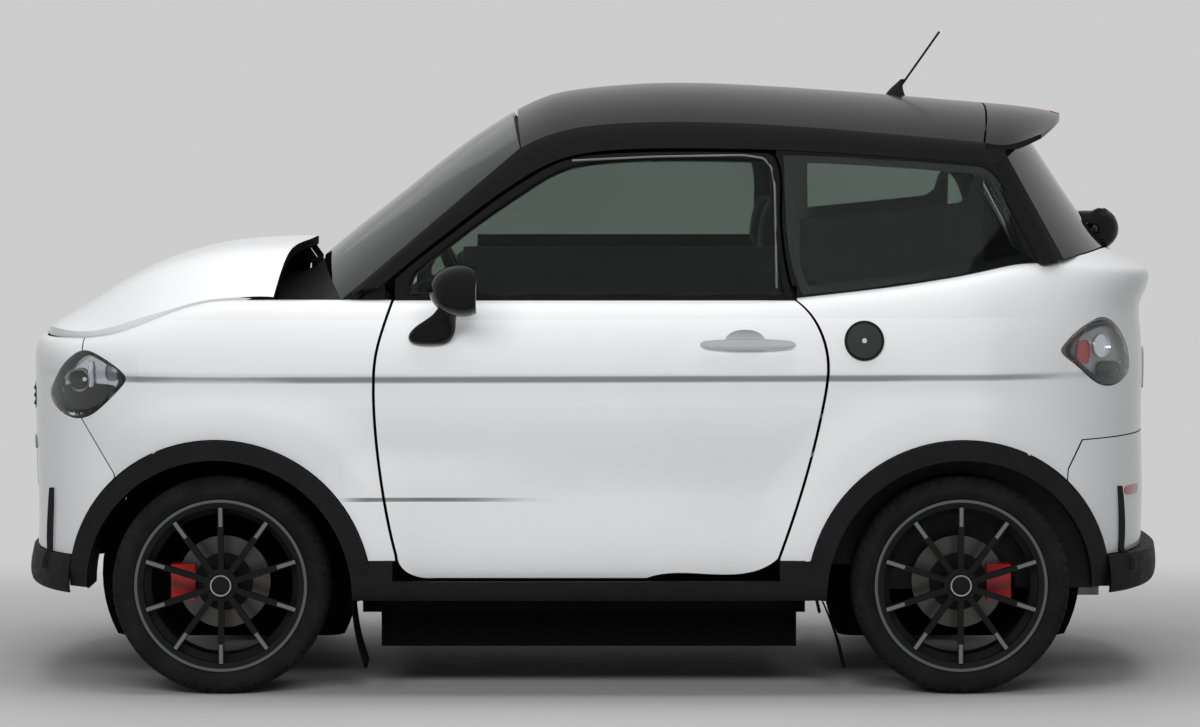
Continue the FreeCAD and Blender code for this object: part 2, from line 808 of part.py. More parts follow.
def band_nets():
    """The left windscreen pillar and roof rail: outer and inner nets, from the upper line to the lower."""
    outer, inner = [], []
    depth = size("rail_depth")
    shifts = [V(0, -1, -30), V(0, -0.8 * depth, -26), V(0, -depth, -12), V(0, -depth, -3)]
    bulge = V(0, 7, 7)
    for (xu, yu, zu), (xl, yl, zl) in zip(UPPER_LINE, LOWER_LINE):
        upper = V(along(xu), out(yu), up(zu))
        lower = V(along(xl), out(yl), up(zl))
        section = [upper, mix(upper, lower, 0.3), mix(upper, lower, 0.7), lower]
        outer.append([upper, section[1] + bulge, section[2] + bulge, lower])
        inner.append([p + s for p, s in zip(section, shifts)])
    return outer, inner


def glass_y(x, z):
    """Drawn half width over the side glass."""
    rise = (z - 998) / 382
    return mix(672, 575, rise) - 12 * (x / 600) ** 2 * mix(1, 0.2, rise)


def side_glass_net(depth, bottom, top):
    rows = []
    for i in range(9):
        x = mix(680, -1250, i / 8)
        heights = [mix(bottom, top, share) for share in (0, 0.33, 0.66, 1)]
        rows.append([V(along(x), out(glass_y(x, z)) - depth, up(z)) for z in heights])
    return rows


def glass_slab(outer_depth, inner_depth, bottom=930, top=1400):
    return slab(side_glass_net(outer_depth, bottom, top), side_glass_net(inner_depth, bottom, top))


FRAME_TOP = [
    (503, 1052), (470, 1081), (361, 1165), (258, 1244), (162, 1308), (84, 1348), (-16, 1367), (-140, 1373),
    (-271, 1374), (-430, 1371),
]
FRAME_REAR = [(-430, 1371), (-455, 1363), (-467, 1340), (-472, 1240), (-482, 1100), (-507, 1000)]
WINDOW_TOP = [
    (447, 1066), (352, 1140), (250, 1216), (158, 1277), (82, 1320), (-16, 1341), (-140, 1348),
    (-271, 1349), (-422, 1346),
]
WINDOW_REAR = [(-422, 1346), (-438, 1338), (-445, 1322), (-450, 1240), (-460, 1100), (-474, 1018)]
SEAL = 9
TRIM_FOOT, TRIM_TOP = 890, 1134
HINGE_HEIGHTS = (430, 860)


def frame_runs():
    """Outline of the door's window frame."""
    top, rear = drawn(FRAME_TOP), drawn(FRAME_REAR)
    low = up(940)
    return [top, rear] + path([rear[-1], (rear[-1][0], low), (top[0][0], low), top[0]])


def window_runs():
    """Outline of the opening in the window frame."""
    top, rear = drawn(WINDOW_TOP), drawn(WINDOW_REAR)
    front, low = top[0][0] + 14, rear[-1][1]
    return [top, rear] + path([rear[-1], (front, low), (front, low + 20), top[0]])


def hinge_arms():
    """The left door's two hinge arms and their pins, which stand on the door post."""
    arms = []
    post = out(640)
    for height in HINGE_HEIGHTS:
        z = up(height)
        arms += [
            block(HINGE_X - 6, HINGE_X + 6, post - 22, HINGE_Y, z - 12, z + 12),
            block(HINGE_X - 6, along(560), post - 22, post - 4, z - 12, z + 12),
            Part.makeCylinder(7, 24, V(HINGE_X, HINGE_Y, z - 12)),
            Part.makeCylinder(size("hinge_pin_radius"), 56, V(HINGE_X, HINGE_Y, z - 28)),
        ]
    return arms


def hinge_pockets():
    """Room for the hinge arms in the door's front inner corner, and the bores for their pins."""
    pockets = []
    bore = size("hinge_pin_radius") + TOUCH
    for height in HINGE_HEIGHTS:
        z = up(height)
        pockets.append(block(HINGE_X - 14, HINGE_X + 92, out(600), HINGE_Y + 8.5, z - 20, z + 20))
        pockets.append(Part.makeCylinder(bore, 60, V(HINGE_X, HINGE_Y, z - 30)))
    return pockets


def make_doors():
    """Doors with their window frames and inner trim as one solid, and the panes they hold."""
    glass = size("glass_thickness")
    lower = largest(side_slab(0, size("door_thickness")).common(side_prism(door_outline(), 0, FAR)))
    ring = glass_slab(0, size("frame_depth")).common(side_prism(frame_runs(), 0, FAR))
    ring = largest(ring.cut(side_prism(window_runs(), 0, FAR)))
    trim = glass_slab(14, 48, TRIM_FOOT, TRIM_TOP).common(block(along(-455), along(330), 0, FAR, 0, LONG))
    slot = glass_slab(-1, glass + TOUCH).common(side_prism(grown(window_runs(), SEAL), 0, FAR))
    door = largest(fused([lower, ring, largest(trim)]).cut([slot] + hinge_pockets()))
    pane = glass_slab(0.5, glass).common(side_prism(grown(window_runs(), SEAL - SEAM), 0, FAR))
    for name, shape in (("door", door), ("door_glass", largest(pane))):
        piece(f"{name}_left", shape)
        piece(f"{name}_right", mirrored(shape))


QUARTER_GLASS = [
    [(-482, 1366), (-640, 1362), (-780, 1353), (-900, 1344), (-985, 1336)],
    [(-985, 1336), (-1000, 1330), (-1060, 1222), (-1120, 1108)],
]


def quarter_runs():
    """Outline of the fixed side window behind the door."""
    top, rear = [drawn(run) for run in QUARTER_GLASS]
    sill = [(along(x), shoulder_at(along(x)) + 8) for x in (-1120, -980, -800, -640, -530)]
    rear[-1] = sill[0]
    front = [sill[-1], (along(-500), up(1100)), (along(-487), up(1240)), top[0]]
    return [top, rear, sill, front]


def make_quarter_glass():
    pane = glass_slab(0, size("glass_thickness"), 960).common(side_prism(quarter_runs(), 0, FAR))
    piece("quarter_glass", pair(largest(pane)))


# The spoiler's rows: x in the middle, z in the middle, x at the edge, half width, z at the edge
SPOILER_ROWS = [
    (-1030, 1504, -994, 540, 1397), (-1085, 1500, -1035, 540, 1388), (-1150, 1493, -1080, 536, 1396),
    (-1205, 1484, -1118, 524, 1412), (-1232, 1474, -1140, 512, 1420),
]
SPOILER_LIP = 12
BOW_LAP = 8
BOW_DEPTH = 32
BOW_STEP = 12
ROOM = 40
POST_FRONT, POST_BACK = -492, -545
POST_SIDE = [
    (640, 860), (615, 980), (606, 1010), (538, 1392), (500, 1392), (566, 1010), (575, 960), (590, 860),
]


def quarter_ledge():
    """The ring that the fixed side window is glued to."""
    quarter = quarter_runs()
    ring = glass_slab(size("glass_thickness") + TOUCH, 22, 960).common(side_prism(grown(quarter, 18), 0, FAR))
    keep_off = [(quarter, -20), (frame_runs(), GAP), (door_outline(), GAP)]
    return largest(ring.cut([side_prism(grown(runs, amount), 0, FAR) for runs, amount in keep_off]))


def spoiler_nets():
    """The spoiler's upper and lower faces."""
    rows = []
    for x_mid, z_mid, x_edge, y, z_edge in SPOILER_ROWS:
        rows.append(arched((x_mid - 2 * SEAM, z_mid), (x_edge - 2 * SEAM, y, z_edge), SEAM))
    thick = size("lid_thickness")
    under = [[p - V(0, 0, mix(thick, SPOILER_LIP, i / 4)) for p in line] for i, line in enumerate(rows)]
    return rows, under


def roof_bows():
    """The two bars across the car under the roof's front and rear edges, and the tongue behind the rear one.

    A bar's upper part follows the roof's underside, and a lower part reaches over to the rails.
    """
    drop = size("lid_thickness") + TOUCH
    roof = roof_net(ROOF_ROWS, SEAM)
    upper, under = spoiler_nets()
    rooms = [slab(moved(roof, 0, 0, ROOM), moved(roof, 0, 0, -drop))]
    rooms.append(slab(moved(upper, 0, 0, ROOM), moved(under, 0, 0, -TOUCH)))
    rear_rows = [(x, x) for x in (-860, -930, -1000, -1060)]
    bows = []
    for rows, x0, x1, half in (
        (ROOF_ROWS, 110, 175, FAR), (rear_rows, -975, -905, FAR), (rear_rows, -1058, -955, out(400)),
    ):
        zone = block(along(x0), along(x1), -half, half, 0, LONG)
        top = moved(roof_net(rows, SEAM), 0, 0, -drop)
        lap = moved(roof_net(rows, -BOW_LAP), 0, 0, -drop - BOW_STEP)
        bar = slab(top, moved(top, 0, 0, -BOW_DEPTH)).common(zone)
        reach = slab(lap, moved(lap, 0, 0, -(BOW_DEPTH - BOW_STEP) * 0.6)).common(zone)
        bows.append(largest(fused([bar, reach]).cut(rooms)))
    return bows


def make_greenhouse():
    """Windscreen pillars, roof rails, door posts, quarter window frames and the bows across the roof."""
    beam_top = float(SILL_BEAM_TOP)
    side = [(out(y), up(z)) for y, z in POST_SIDE]
    side = [(side[0][0], beam_top)] + side + [(side[-1][0], beam_top)]
    post = front_prism(straight(side), along(POST_BACK), along(POST_FRONT))
    foot = block(along(530), along(598), out(585), out(632), beam_top, up(1034))
    left = largest(slab(*band_nets()).fuse([post, foot, quarter_ledge()]).cut(NEAR_SKIN))
    arms = hinge_arms()
    frame = left.fuse(roof_bows() + [mirrored(left)] + arms + [mirrored(a) for a in arms])
    frame = frame.removeSplitter()
    piece("greenhouse_frame", frame)
    return frame


# Tailgate, spoiler and rear pillars

TAILGATE_CENTRE = [(1440, -1138), (1375, -1182), (1214, -1290), (1129, -1358)]
TAILGATE_EDGE_X = [(1372, -1051), (1353, -1061), (1225, -1130), (1103, -1196)]
TAILGATE_EDGE_Y = [(1372, 548), (1353, 554), (1225, 576), (1103, 600)]
REAR_PILLAR_FRONT = [(-1003, 572, 1337), (-1067, 608, 1218), (-1140, 636, 1090)]
REAR_PILLAR_REAR = [(-1052, 556, 1350), (-1124, 579, 1225), (-1190, 603, 1103)]
TAILGATE_AXIS = (-1112, 1444)
TAILGATE_STRAP = [(-1119, 1446), (-1106, 1446), (-1110, 1424), (-1128, 1400), (-1136, 1407), (-1121, 1430)]
TAILGATE_HINGE_Y = 260
LID_PIN = 4


def cross_rod(radius, x, z, y0, y1):
    """A round bar across the car."""
    return Part.makeCylinder(radius, y1 - y0, V(x, y0, z), V(0, 1, 0))


def rounded(centre, radii):
    """An ellipsoid."""
    (x, y, z), (a, b, c) = centre, radii
    return Part.makeSphere(1).transformGeometry(FreeCAD.Matrix(a, 0, 0, x, 0, b, 0, y, 0, 0, c, z, 0, 0, 0, 1))


def make_tailgate():
    net = []
    for step in range(7):
        z_mid, z_edge = mix(1440, 1129, step / 6), mix(1372, 1103, step / 6)
        centre = (curve_at(TAILGATE_CENTRE, z_mid), z_mid)
        edge = (curve_at(TAILGATE_EDGE_X, z_edge), curve_at(TAILGATE_EDGE_Y, z_edge), z_edge)
        net.append(arched(centre, edge, GAP))
    depth = size("glass_thickness")
    glass = slab(net, moved(net, depth * 0.83, 0, -depth * 0.55))
    handle = rounded((along(-1338), 0, up(1166)), (17, 62, 24))
    x, z = along(TAILGATE_AXIS[0]), up(TAILGATE_AXIS[1])
    y0, y1 = TAILGATE_HINGE_Y - 7, TAILGATE_HINGE_Y + 7
    strap = side_prism(straight(drawn(TAILGATE_STRAP)), y0, y1).fuse(cross_rod(7, x, z, y0, y1))
    lid = fused([glass, handle, strap, mirrored(strap)])
    bore = cross_rod(LID_PIN + TOUCH, x, z, y0 - 1, y1 + 1)
    piece("tailgate_glass", largest(lid.cut([bore, mirrored(bore)])))


def make_rear_pillars(frame):
    outer = []
    for (xf, yf, zf), (xr, yr, zr) in zip(REAR_PILLAR_FRONT, REAR_PILLAR_REAR):
        front, rear = V(along(xf), out(yf), up(zf)), V(along(xr), out(yr), up(zr))
        bulge = V(-4, 4, 0)
        outer.append([front, mix(front, rear, 0.35) + bulge, mix(front, rear, 0.75) + bulge, rear])
    depth = size("rail_depth")
    pillar = slab(outer, moved(outer, depth * 0.35, -depth, -4))
    pane_room = glass_slab(-SEAM, size("glass_thickness") + TOUCH, 960)
    pane_room = pane_room.common(side_prism(grown(quarter_runs(), SEAM), 0, FAR))
    piece("rear_pillars", pair(largest(pillar.cut([NEAR_SKIN, frame, pane_room]))))


def make_spoiler():
    x, z = along(TAILGATE_AXIS[0]), up(TAILGATE_AXIS[1])
    hinge = [cross_rod(LID_PIN, x, z, TAILGATE_HINGE_Y - 16, TAILGATE_HINGE_Y + 16)]
    for y in (TAILGATE_HINGE_Y - 16, TAILGATE_HINGE_Y + 10):
        hinge.append(block(x - 10, x + 10, y, y + 6, z - 7, z + 22))
    corner = block(along(-1100), along(-1000), out(495), FAR, 0, up(1381))
    blade = slab(*spoiler_nets()).cut([corner, mirrored(corner)])
    piece("roof_spoiler", largest(fused([blade] + hinge + [mirrored(p) for p in hinge])))


# Bonnet and cowl

BONNET_CENTRE = [
    (700, 1140), (745, 1146), (816, 1145), (950, 1137), (1057, 1115), (1165, 1078), (1246, 1035),
    (1327, 981), (1394, 941), (1450, 904), (1500, 868),
]
BONNET_EDGE_Y = [
    (700, 657), (800, 650), (900, 642), (1000, 628), (1127, 598), (1220, 558), (1300, 510), (1370, 460),
    (1442, 400), (1500, 360),
]
BONNET_EDGE_Z = [
    (700, 1002), (885, 1002), (995, 996), (1125, 960), (1245, 914), (1310, 902), (1403, 897), (1500, 880),
]
BONNET_CROWN = [(0, 1), (0.3, 0.975), (0.55, 0.92), (0.7, 0.82), (0.8, 0.63), (0.9, 0.34), (1, 0), (1.15, -0.5)]
BONNET_ACROSS = [0, 0.15, 0.3, 0.45, 0.58, 0.68, 0.76, 0.84, 0.92, 1.0, 1.12]
BONNET_REAR = [(812, 640), (790, 500), (765, 320), (748, 150), (745, 0)]
BONNET_AXIS = (742, 1085)
BONNET_LUG = [(734, 1077), (750, 1077), (800, 1118), (800, 1130), (760, 1130), (734, 1093)]
BONNET_HINGE_Y = 130
# More room beside the bumper's corner: how much, at what distance from the middle plane, over what width
CORNER_ROOM, CORNER_Y, CORNER_WIDTH = 8, 420, 110
# What the slant of the flanges takes off the gap, along the wings and across the nose
SIDE_ROOM, NOSE_ROOM = 0.4, 0.7


def bonnet_net():
    rows = []
    for step in range(15):
        x = mix(690, 1500, step / 14)
        y_edge = curve_at(BONNET_EDGE_Y, x)
        z_mid, z_edge = curve_at(BONNET_CENTRE, x), curve_at(BONNET_EDGE_Z, x)
        half = [(share * y_edge, mix(z_edge, z_mid, curve_at(BONNET_CROWN, share))) for share in BONNET_ACROSS]
        points = [(-y, z) for y, z in reversed(half[1:])] + half
        rows.append([V(along(x), out(y), up(z)) for y, z in points])
    return rows


def bonnet_zone():
    """Plan outline of the bonnet, a panel gap inside the flanges of wings and bumper."""
    edge = []
    for (x, y, front, _), normal in zip(STATIONS, OUTWARD):
        if x > along(830):
            room = SIDE_ROOM + front * NOSE_ROOM + CORNER_ROOM * math.exp(-((y - CORNER_Y) / CORNER_WIDTH) ** 2)
            point = V(x, y, 0) - normal * (mix(FLANGE_INSET, FRONT_FLANGE_INSET, front) + GAP + room)
            edge.append((point.x, point.y))
    rear = [(along(x), out(y)) for x, y in BONNET_REAR]
    rear[0] = (rear[0][0], edge[-1][1] + 3)
    left = [rear[0]] + list(reversed(edge))
    sides = left + [(x, -y) for x, y in reversed(left[:-1])]
    back = [(x, -y) for x, y in rear] + list(reversed(rear[:-1]))
    return plan_prism([sides, back], 700, up(TOP_CUT))


def make_bonnet():
    net = bonnet_net()
    panel = largest(slab(net, moved(net, 0, 0, -size("lid_thickness"))).common(bonnet_zone()))
    lug = side_prism(straight(drawn(BONNET_LUG)), BONNET_HINGE_Y - 9, BONNET_HINGE_Y + 9)
    x, z = along(BONNET_AXIS[0]), up(BONNET_AXIS[1])
    bore = cross_rod(LID_PIN + TOUCH, x, z, BONNET_HINGE_Y - 10, BONNET_HINGE_Y + 10)
    lid = fused([panel, lug, mirrored(lug)])
    piece("bonnet", largest(lid.cut([bore, mirrored(bore)])))


FIREWALL = (560, 575)
FIREWALL_TOP = 955
COWL_THICK = 12
# Each row: x and z in the middle, x and z at the edge
COWL_ROWS = [(742, 1058, 700, 962), (790, 1048, 745, 955), (830, 1048, 795, 955)]


def make_cowl(frame):
    """The black tray between bonnet and windscreen, and the bulkhead that carries the glass's foot."""
    dx, dy, dz = screen_inward()
    seat = [p + V(dx, dy, dz - TOUCH) for p in screen_net()[0]]
    tray = [seat] + [arched((xm, zm), (xe, 640, ze), 0) for xm, zm, xe, ze in COWL_ROWS]
    top = up(FIREWALL_TOP) + COWL_THICK + TOUCH
    ledge = [V(along(568), share * (float(CABIN_Y) - 23), top) for share in ACROSS]
    step = [V(mix(a.x, b.x, 0.5), a.y * 1.01, mix(a.z, b.z, 0.45)) for a, b in zip(ledge, seat)]
    parts = [slab(net, moved(net, 0, 0, -COWL_THICK)) for net in (tray, [ledge, step, seat])]
    x, z = along(BONNET_AXIS[0]), up(BONNET_AXIS[1])
    near = BONNET_HINGE_Y - 26
    stand = block(x - 8, x + 8, near, near + 12, up(1050), z + 9)
    pin = cross_rod(LID_PIN, x, z, near, BONNET_HINGE_Y + 12)
    parts += [stand, mirrored(stand), pin, mirrored(pin)]
    piece("cowl_panel", largest(fused(parts).cut(frame)))


# Chassis: the floor pan, the front frame and the boot frame are three solids that stand against each other

BEAM_FRONT = 1425
BOOT_END = -1361
EYE_X, EYE_Y = 1410, 250
EYE_THREAD = 8.5
EYE_DEPTH = 30
TRAY_X = (-520, 545)
TRAY_Y = (275, 545)


def make_floor():
    front, back = place_x(FIREWALL[1]), place_x(-540)
    low, sill_top = cell("floor_height"), SILL_BEAM_TOP + TOUCH
    between_sills = CABIN_Y - cell("sill_beam_width") - TOUCH
    above_pan = FLOOR_TOP + TOUCH
    boot_y = REAR_LINER_Y - cell("contact_gap")
    heel = (back, back + 15)
    wall = (place_x(FIREWALL[0]), front)
    floor = [
        box("Pan", (back, front), (-CABIN_Y, CABIN_Y), (low, FLOOR_TOP)),
        box("Spine", (heel[1] + TOUCH, wall[0] - TOUCH), (-70, 70), (FLOOR_TOP - 2, FLOOR_TOP + 80)),
    ]
    ahead = [
        box("FirewallFoot", wall, (-between_sills, between_sills), (above_pan, sill_top + 20)),
        box("Firewall", wall, (14 - CABIN_Y, CABIN_Y - 14), (sill_top, place_z(FIREWALL_TOP))),
        box("NoseBeam", (place_x(BEAM_FRONT - 30), place_x(BEAM_FRONT)), (-368, 368),
            (WHEEL_Z + 23, WHEEL_Z + 193)),
    ]
    behind = [
        box("HeelBoard", heel, (-between_sills, between_sills), (above_pan, BOOT_FLOOR + 15)),
        box("BootFloor", (place_x(-1315), heel[1]), (-boot_y, boot_y), (BOOT_FLOOR, BOOT_FLOOR + 15)),
        box("BootTail", (place_x(BOOT_END), place_x(-1310)), (-450, 450), (BOOT_FLOOR, BOOT_FLOOR + 15)),
        box("BootWall", (place_x(BOOT_END), place_x(BOOT_END + 15)), (-440, 440), (WHEEL_Z + 23, place_z(700))),
    ]
    for name, flip in (("Left", 1), ("Right", -1)):
        def across(inner, outer):
            return (inner, outer) if flip > 0 else (-outer, -inner)

        floor += [
            box(f"SillBeam{name}", (back, place_x(590)), across(CABIN_Y - cell("sill_beam_width"), CABIN_Y),
                (low, SILL_BEAM_TOP)),
            box(f"UnderTray{name}", (place_x(TRAY_X[0]), place_x(TRAY_X[1])), across(*TRAY_Y),
                (cell("tray_height"), low + 2)),
        ]
        ahead += [
            box(f"FrontRail{name}", (front - 2, place_x(BEAM_FRONT - 28)), across(310, 360),
                (RAIL_FOOT, RAIL_FOOT + 70)),
            box(f"TowerWall{name}", (AXLE_F - 60, AXLE_F + 60), across(358, TOWER_WALL_Y),
                (RAIL_FOOT, TOWER_TOP + PLATE)),
            box(f"TowerTop{name}", (AXLE_F - 60, AXLE_F + 60), across(360, TOWER_REACH),
                (TOWER_TOP, TOWER_TOP + PLATE)),
        ]
        behind.append(box(f"RearRail{name}", (place_x(BOOT_END + 2), back + 2), across(310, 360),
                          (RAIL_FOOT, BOOT_FLOOR + 2)))
    thread = rod("EyeThread", EYE_THREAD, EYE_DEPTH + 10, (place_x(EYE_X), -EYE_Y, WHEEL_Z + 13))
    solids = [
        fuse("FloorPan", floor),
        cut("FrontFrame", fuse("FrontPlates", ahead), thread),
        fuse("BootFrame", behind),
    ]
    finish(gather("Chassis", solids), "chassis_floor")


def make_liners():
    """Half-round inner arches over the four wheels."""
    wall = size("liner_thickness")
    lip_back = side_slab(80, ARCH_TRIM_DEPTH + TOUCH)
    shells = []
    for arch, inner_y, walled in ((FRONT_ARCH, TOWER_WALL_Y + TOUCH, False), (REAR_ARCH, REAR_LINER_Y, True)):
        x, z = arch
        tube = cross_rod(LINER_RADIUS + wall, x, z, inner_y, out(745))
        hollow = cross_rod(LINER_RADIUS, x, z, inner_y + (wall if walled else -50), FAR)
        if walled:
            doorway = block(x - 150, x + 360, 0, inner_y + 60, 0, z + 60)
        else:
            doorway = block(x - 80, x + 64, 420, 545, z, 2000)
        low_edge = block(x - 600, x + 600, out(705), FAR, 0, up(BODY_BOTTOM))
        below = block(x - 600, x + 600, 0, FAR, -500, z)
        shell = largest(tube.cut([hollow, lip_back, below, low_edge, doorway]))
        shells += [shell, mirrored(shell)]
    piece("wheel_arch_liners", Part.makeCompound(shells))


EAR_REACH = 18


def make_front_suspension():
    pin_y = cell("kingpin_y")
    ear_x = (AXLE_F - EAR_REACH, AXLE_F + EAR_REACH)
    left = [
        box("LowerArm", (AXLE_F - 22, AXLE_F + 22), (320, 500), (PIN_LOW, PIN_LOW + EAR_THICK)),
        box("LowerEar", ear_x, (478, pin_y), (PIN_LOW, PIN_LOW + EAR_THICK)),
        box("UpperEar", ear_x, (478, pin_y), (PIN_HIGH, PIN_HIGH + EAR_THICK)),
        box("Carrier", ear_x, (478, 500), (PIN_LOW, PIN_HIGH + EAR_THICK)),
        rod("LowerEye", EAR_REACH, EAR_THICK, (AXLE_F, pin_y, PIN_LOW)),
        rod("UpperEye", EAR_REACH, EAR_THICK, (AXLE_F, pin_y, PIN_HIGH)),
        rod("Kingpin", cell("kingpin_radius"), PIN_HIGH - PIN_LOW, (AXLE_F, pin_y, PIN_LOW)),
        rod("Damper", 17, TOWER_TOP - PIN_HIGH - 4, (AXLE_F, 484, PIN_HIGH + 4)),
        rod("Spring", 34, 112, (AXLE_F, 474, TOWER_TOP - 112)),
        rod("DriveShaft", 12, 177.7, (AXLE_F, 300.3, WHEEL_Z), (0, 1, 0)),
    ]
    cradle = box("Cradle", (AXLE_F - 110, AXLE_F + 110), (-330, 330), (CRADLE_TOP - 52, CRADLE_TOP))
    arm = fuse("SuspensionLeft", left)
    finish(fuse("FrontSuspension", [cradle, arm, mirror("SuspensionRight", arm)]), "front_suspension")


def make_caliper(name, axle, sign):
    """A caliper block with the slot that the brake disc runs in."""
    near, far = 72, 134
    disc_y = WHEEL_Y - cell("disc_offset")
    room = cell("caliper_clearance")
    thick = cell("disc_thickness")
    x = (axle + near, axle + far) if sign > 0 else (axle - far, axle - near)
    body = box(f"CaliperBody{name}", x, (disc_y - 24, disc_y + thick + 22), (WHEEL_Z - 46, WHEEL_Z + 46))
    slot = rod(f"CaliperSlot{name}", cell("disc_radius") + room, thick + room * 2,
               (axle, disc_y - room, WHEEL_Z), (0, 1, 0))
    return cut(f"Caliper{name}", body, slot)


def make_knuckles():
    """The front uprights with their stub axles and brake calipers."""
    pin_y = cell("kingpin_y")
    low = PIN_LOW + EAR_THICK + 1
    bore = cell("kingpin_radius") + cell("contact_gap")
    tube = rod("SleeveTube", bore + cell("sleeve_wall"), PIN_HIGH - 1 - low, (AXLE_F, pin_y, low))
    stub_length = WHEEL_Y + cell("stub_reach") - pin_y
    stub = rod("Stub", cell("stub_radius"), stub_length, (AXLE_F, pin_y, WHEEL_Z), (0, 1, 0))
    hollow = rod("SleeveBore", bore, PIN_HIGH - PIN_LOW, (AXLE_F, pin_y, PIN_LOW))
    sleeve = cut("Sleeve", fuse("SleeveAndStub", [tube, stub]), hollow)
    bracket = box("BracketFront", (AXLE_F + 14, AXLE_F + 84), (pin_y, pin_y + 14), (WHEEL_Z - 22, WHEEL_Z + 22))
    left = finish(fuse("KnuckleLeft", [sleeve, bracket, make_caliper("Front", AXLE_F, 1)]), "knuckle_left")
    finish(mirror("KnuckleRight", left), "knuckle_right")


def make_rear_axle():
    inner, outer = 488, 514
    left = [
        box("TrailingArm", (AXLE_R - 30, AXLE_R + 262), (inner, outer), (WHEEL_Z - 27, WHEEL_Z + 27)),
        rod("StubRear", cell("stub_radius"), WHEEL_Y + cell("stub_reach") - inner,
            (AXLE_R, inner, WHEEL_Z), (0, 1, 0)),
        box("BracketRear", (AXLE_R - 84, AXLE_R + 8), (outer - 10, outer + 40), (WHEEL_Z - 20, WHEEL_Z + 20)),
        box("SpringSeat", (AXLE_R + 60, AXLE_R + 140), (400, inner + 4), (WHEEL_Z - 27, WHEEL_Z - 7)),
        rod("RearSpring", 34, BOOT_FLOOR - WHEEL_Z + 7, (AXLE_R + 100, 440, WHEEL_Z - 7)),
        make_caliper("Rear", AXLE_R, -1),
    ]
    arm = fuse("ArmLeft", left)
    beam = box("TwistBeam", (AXLE_R + 175, AXLE_R + 235), (-inner - 4, inner + 4), (WHEEL_Z - 25, WHEEL_Z + 25))
    finish(fuse("RearAxle", [beam, arm, mirror("ArmRight", arm)]), "rear_axle")


def make_engine():
    parts = [
        box("Crankcase", (AXLE_F - 150, AXLE_F + 190), (-250, 190), (CRADLE_TOP, CRADLE_TOP + 328)),
        box("Head", (AXLE_F - 90, AXLE_F + 130), (-200, 120), (CRADLE_TOP + 328, CRADLE_TOP + 538)),
        box("Gearbox", (AXLE_F - 95, AXLE_F + 95), (190, 300), (CRADLE_TOP, CRADLE_TOP + 188)),
    ]
    finish(fuse("Engine", parts), "engine_block")


def make_exhaust():
    pipe_y, pipe_z = -160, 176
    hanger = BOOT_FLOOR - 310
    parts = [
        box("Silencer", (AXLE_R - 400, AXLE_R - 220), (-250, 250), (205, 315)),
        rod("Pipe", 20, cell("wheelbase") - 96, (AXLE_R - 240, pipe_y, pipe_z), (1, 0, 0)),
        rod("PipeRise", 20, 60, (AXLE_R - 240, pipe_y, pipe_z)),
        rod("TailPipe", 18, 75, (AXLE_R - 395, 190, 240), (-1, 0, 0)),
        rod("HangerLeft", 5, hanger, (AXLE_R - 310, 160, 310)),
        rod("HangerRight", 5, hanger, (AXLE_R - 310, -160, 310)),
    ]
    finish(fuse("Exhaust", parts), "exhaust")


# Cabin. The seat's outline gives heights above the floor.

SEAT_SIDE = [
    (95, 0), (95, 110), (130, 200), (118, 285), (60, 300), (-180, 248), (-255, 260), (-345, 580), (-405, 820),
    (-420, 900), (-428, 995), (-462, 1042), (-505, 1030), (-505, 940), (-480, 840), (-450, 680), (-390, 380),
    (-350, 180), (-330, 110), (-330, 0),
]
SEAT_Y = 300
HEADREST_HALF = 120
HEADREST_FOOT = 870
DASH_SIDE = [
    (559.7, 700), (559.7, 952), (500, 1002), (420, 1010), (368, 975), (360, 900), (392, 800), (460, 700),
]


def make_seats():
    half = size("seat_width") / 2
    floor = float(FLOOR_TOP)
    profile = [(along(x), floor + rise) for x, rise in SEAT_SIDE]
    seat = side_prism(straight(profile), SEAT_Y - half, SEAT_Y + half)
    x0, x1, z0 = along(-600), along(-380), floor + HEADREST_FOOT
    seat = seat.cut([
        block(x0, x1, SEAT_Y + HEADREST_HALF, SEAT_Y + half + 1, z0, z0 + 400),
        block(x0, x1, SEAT_Y - half - 1, SEAT_Y - HEADREST_HALF, z0, z0 + 400),
    ])
    piece("seat_left", seat)
    piece("seat_right", mirrored(seat))


STEER_TILT = 24
STEER_CENTRE = (330, 985)
HUB_AHEAD = 10


def steering_point(ahead):
    """A point on the steering column, at a distance ahead of the steering wheel's centre."""
    angle = math.radians(STEER_TILT)
    x, z = along(STEER_CENTRE[0]), up(STEER_CENTRE[1])
    return V(x + ahead * math.cos(angle), SEAT_Y, z - ahead * math.sin(angle))


def make_dashboard():
    body = side_prism(straight(drawn(DASH_SIDE)), -out(560), out(560))
    start, end = steering_point(HUB_AHEAD + TOUCH), steering_point(190)
    column = Part.makeCylinder(22, (end - start).Length, start, end - start)
    piece("dashboard", fused([body, column]))


def make_steering_wheel():
    rim = doc.addObject("Part::Torus", "SteeringRim")
    tube = cell("steering_rim_radius")
    reach = cell("steering_wheel_radius") - tube
    rim.setExpression("Radius1", text_of(reach))
    rim.setExpression("Radius2", text_of(tube))
    wheel = fuse("SteeringWheel", [
        rim,
        rod("SteeringHub", 42, 36, (0, 0, -HUB_AHEAD)),
        box("SpokeLeft", (-12, 12), (0, reach), (-7, 5)),
        box("SpokeRight", (-12, 12), (-reach, 0), (-7, 5)),
        box("SpokeDown", (-reach, 0), (-14, 14), (-7, 5)),
    ])
    # The wheel is made flat, then leans back towards the driver
    wheel.Placement = FreeCAD.Placement(steering_point(0), FreeCAD.Rotation(V(0, 1, 0), STEER_TILT - 90))
    finish(wheel, "steering_wheel")


# Mirrors and antenna


MIRROR_AT = (828, 1031)
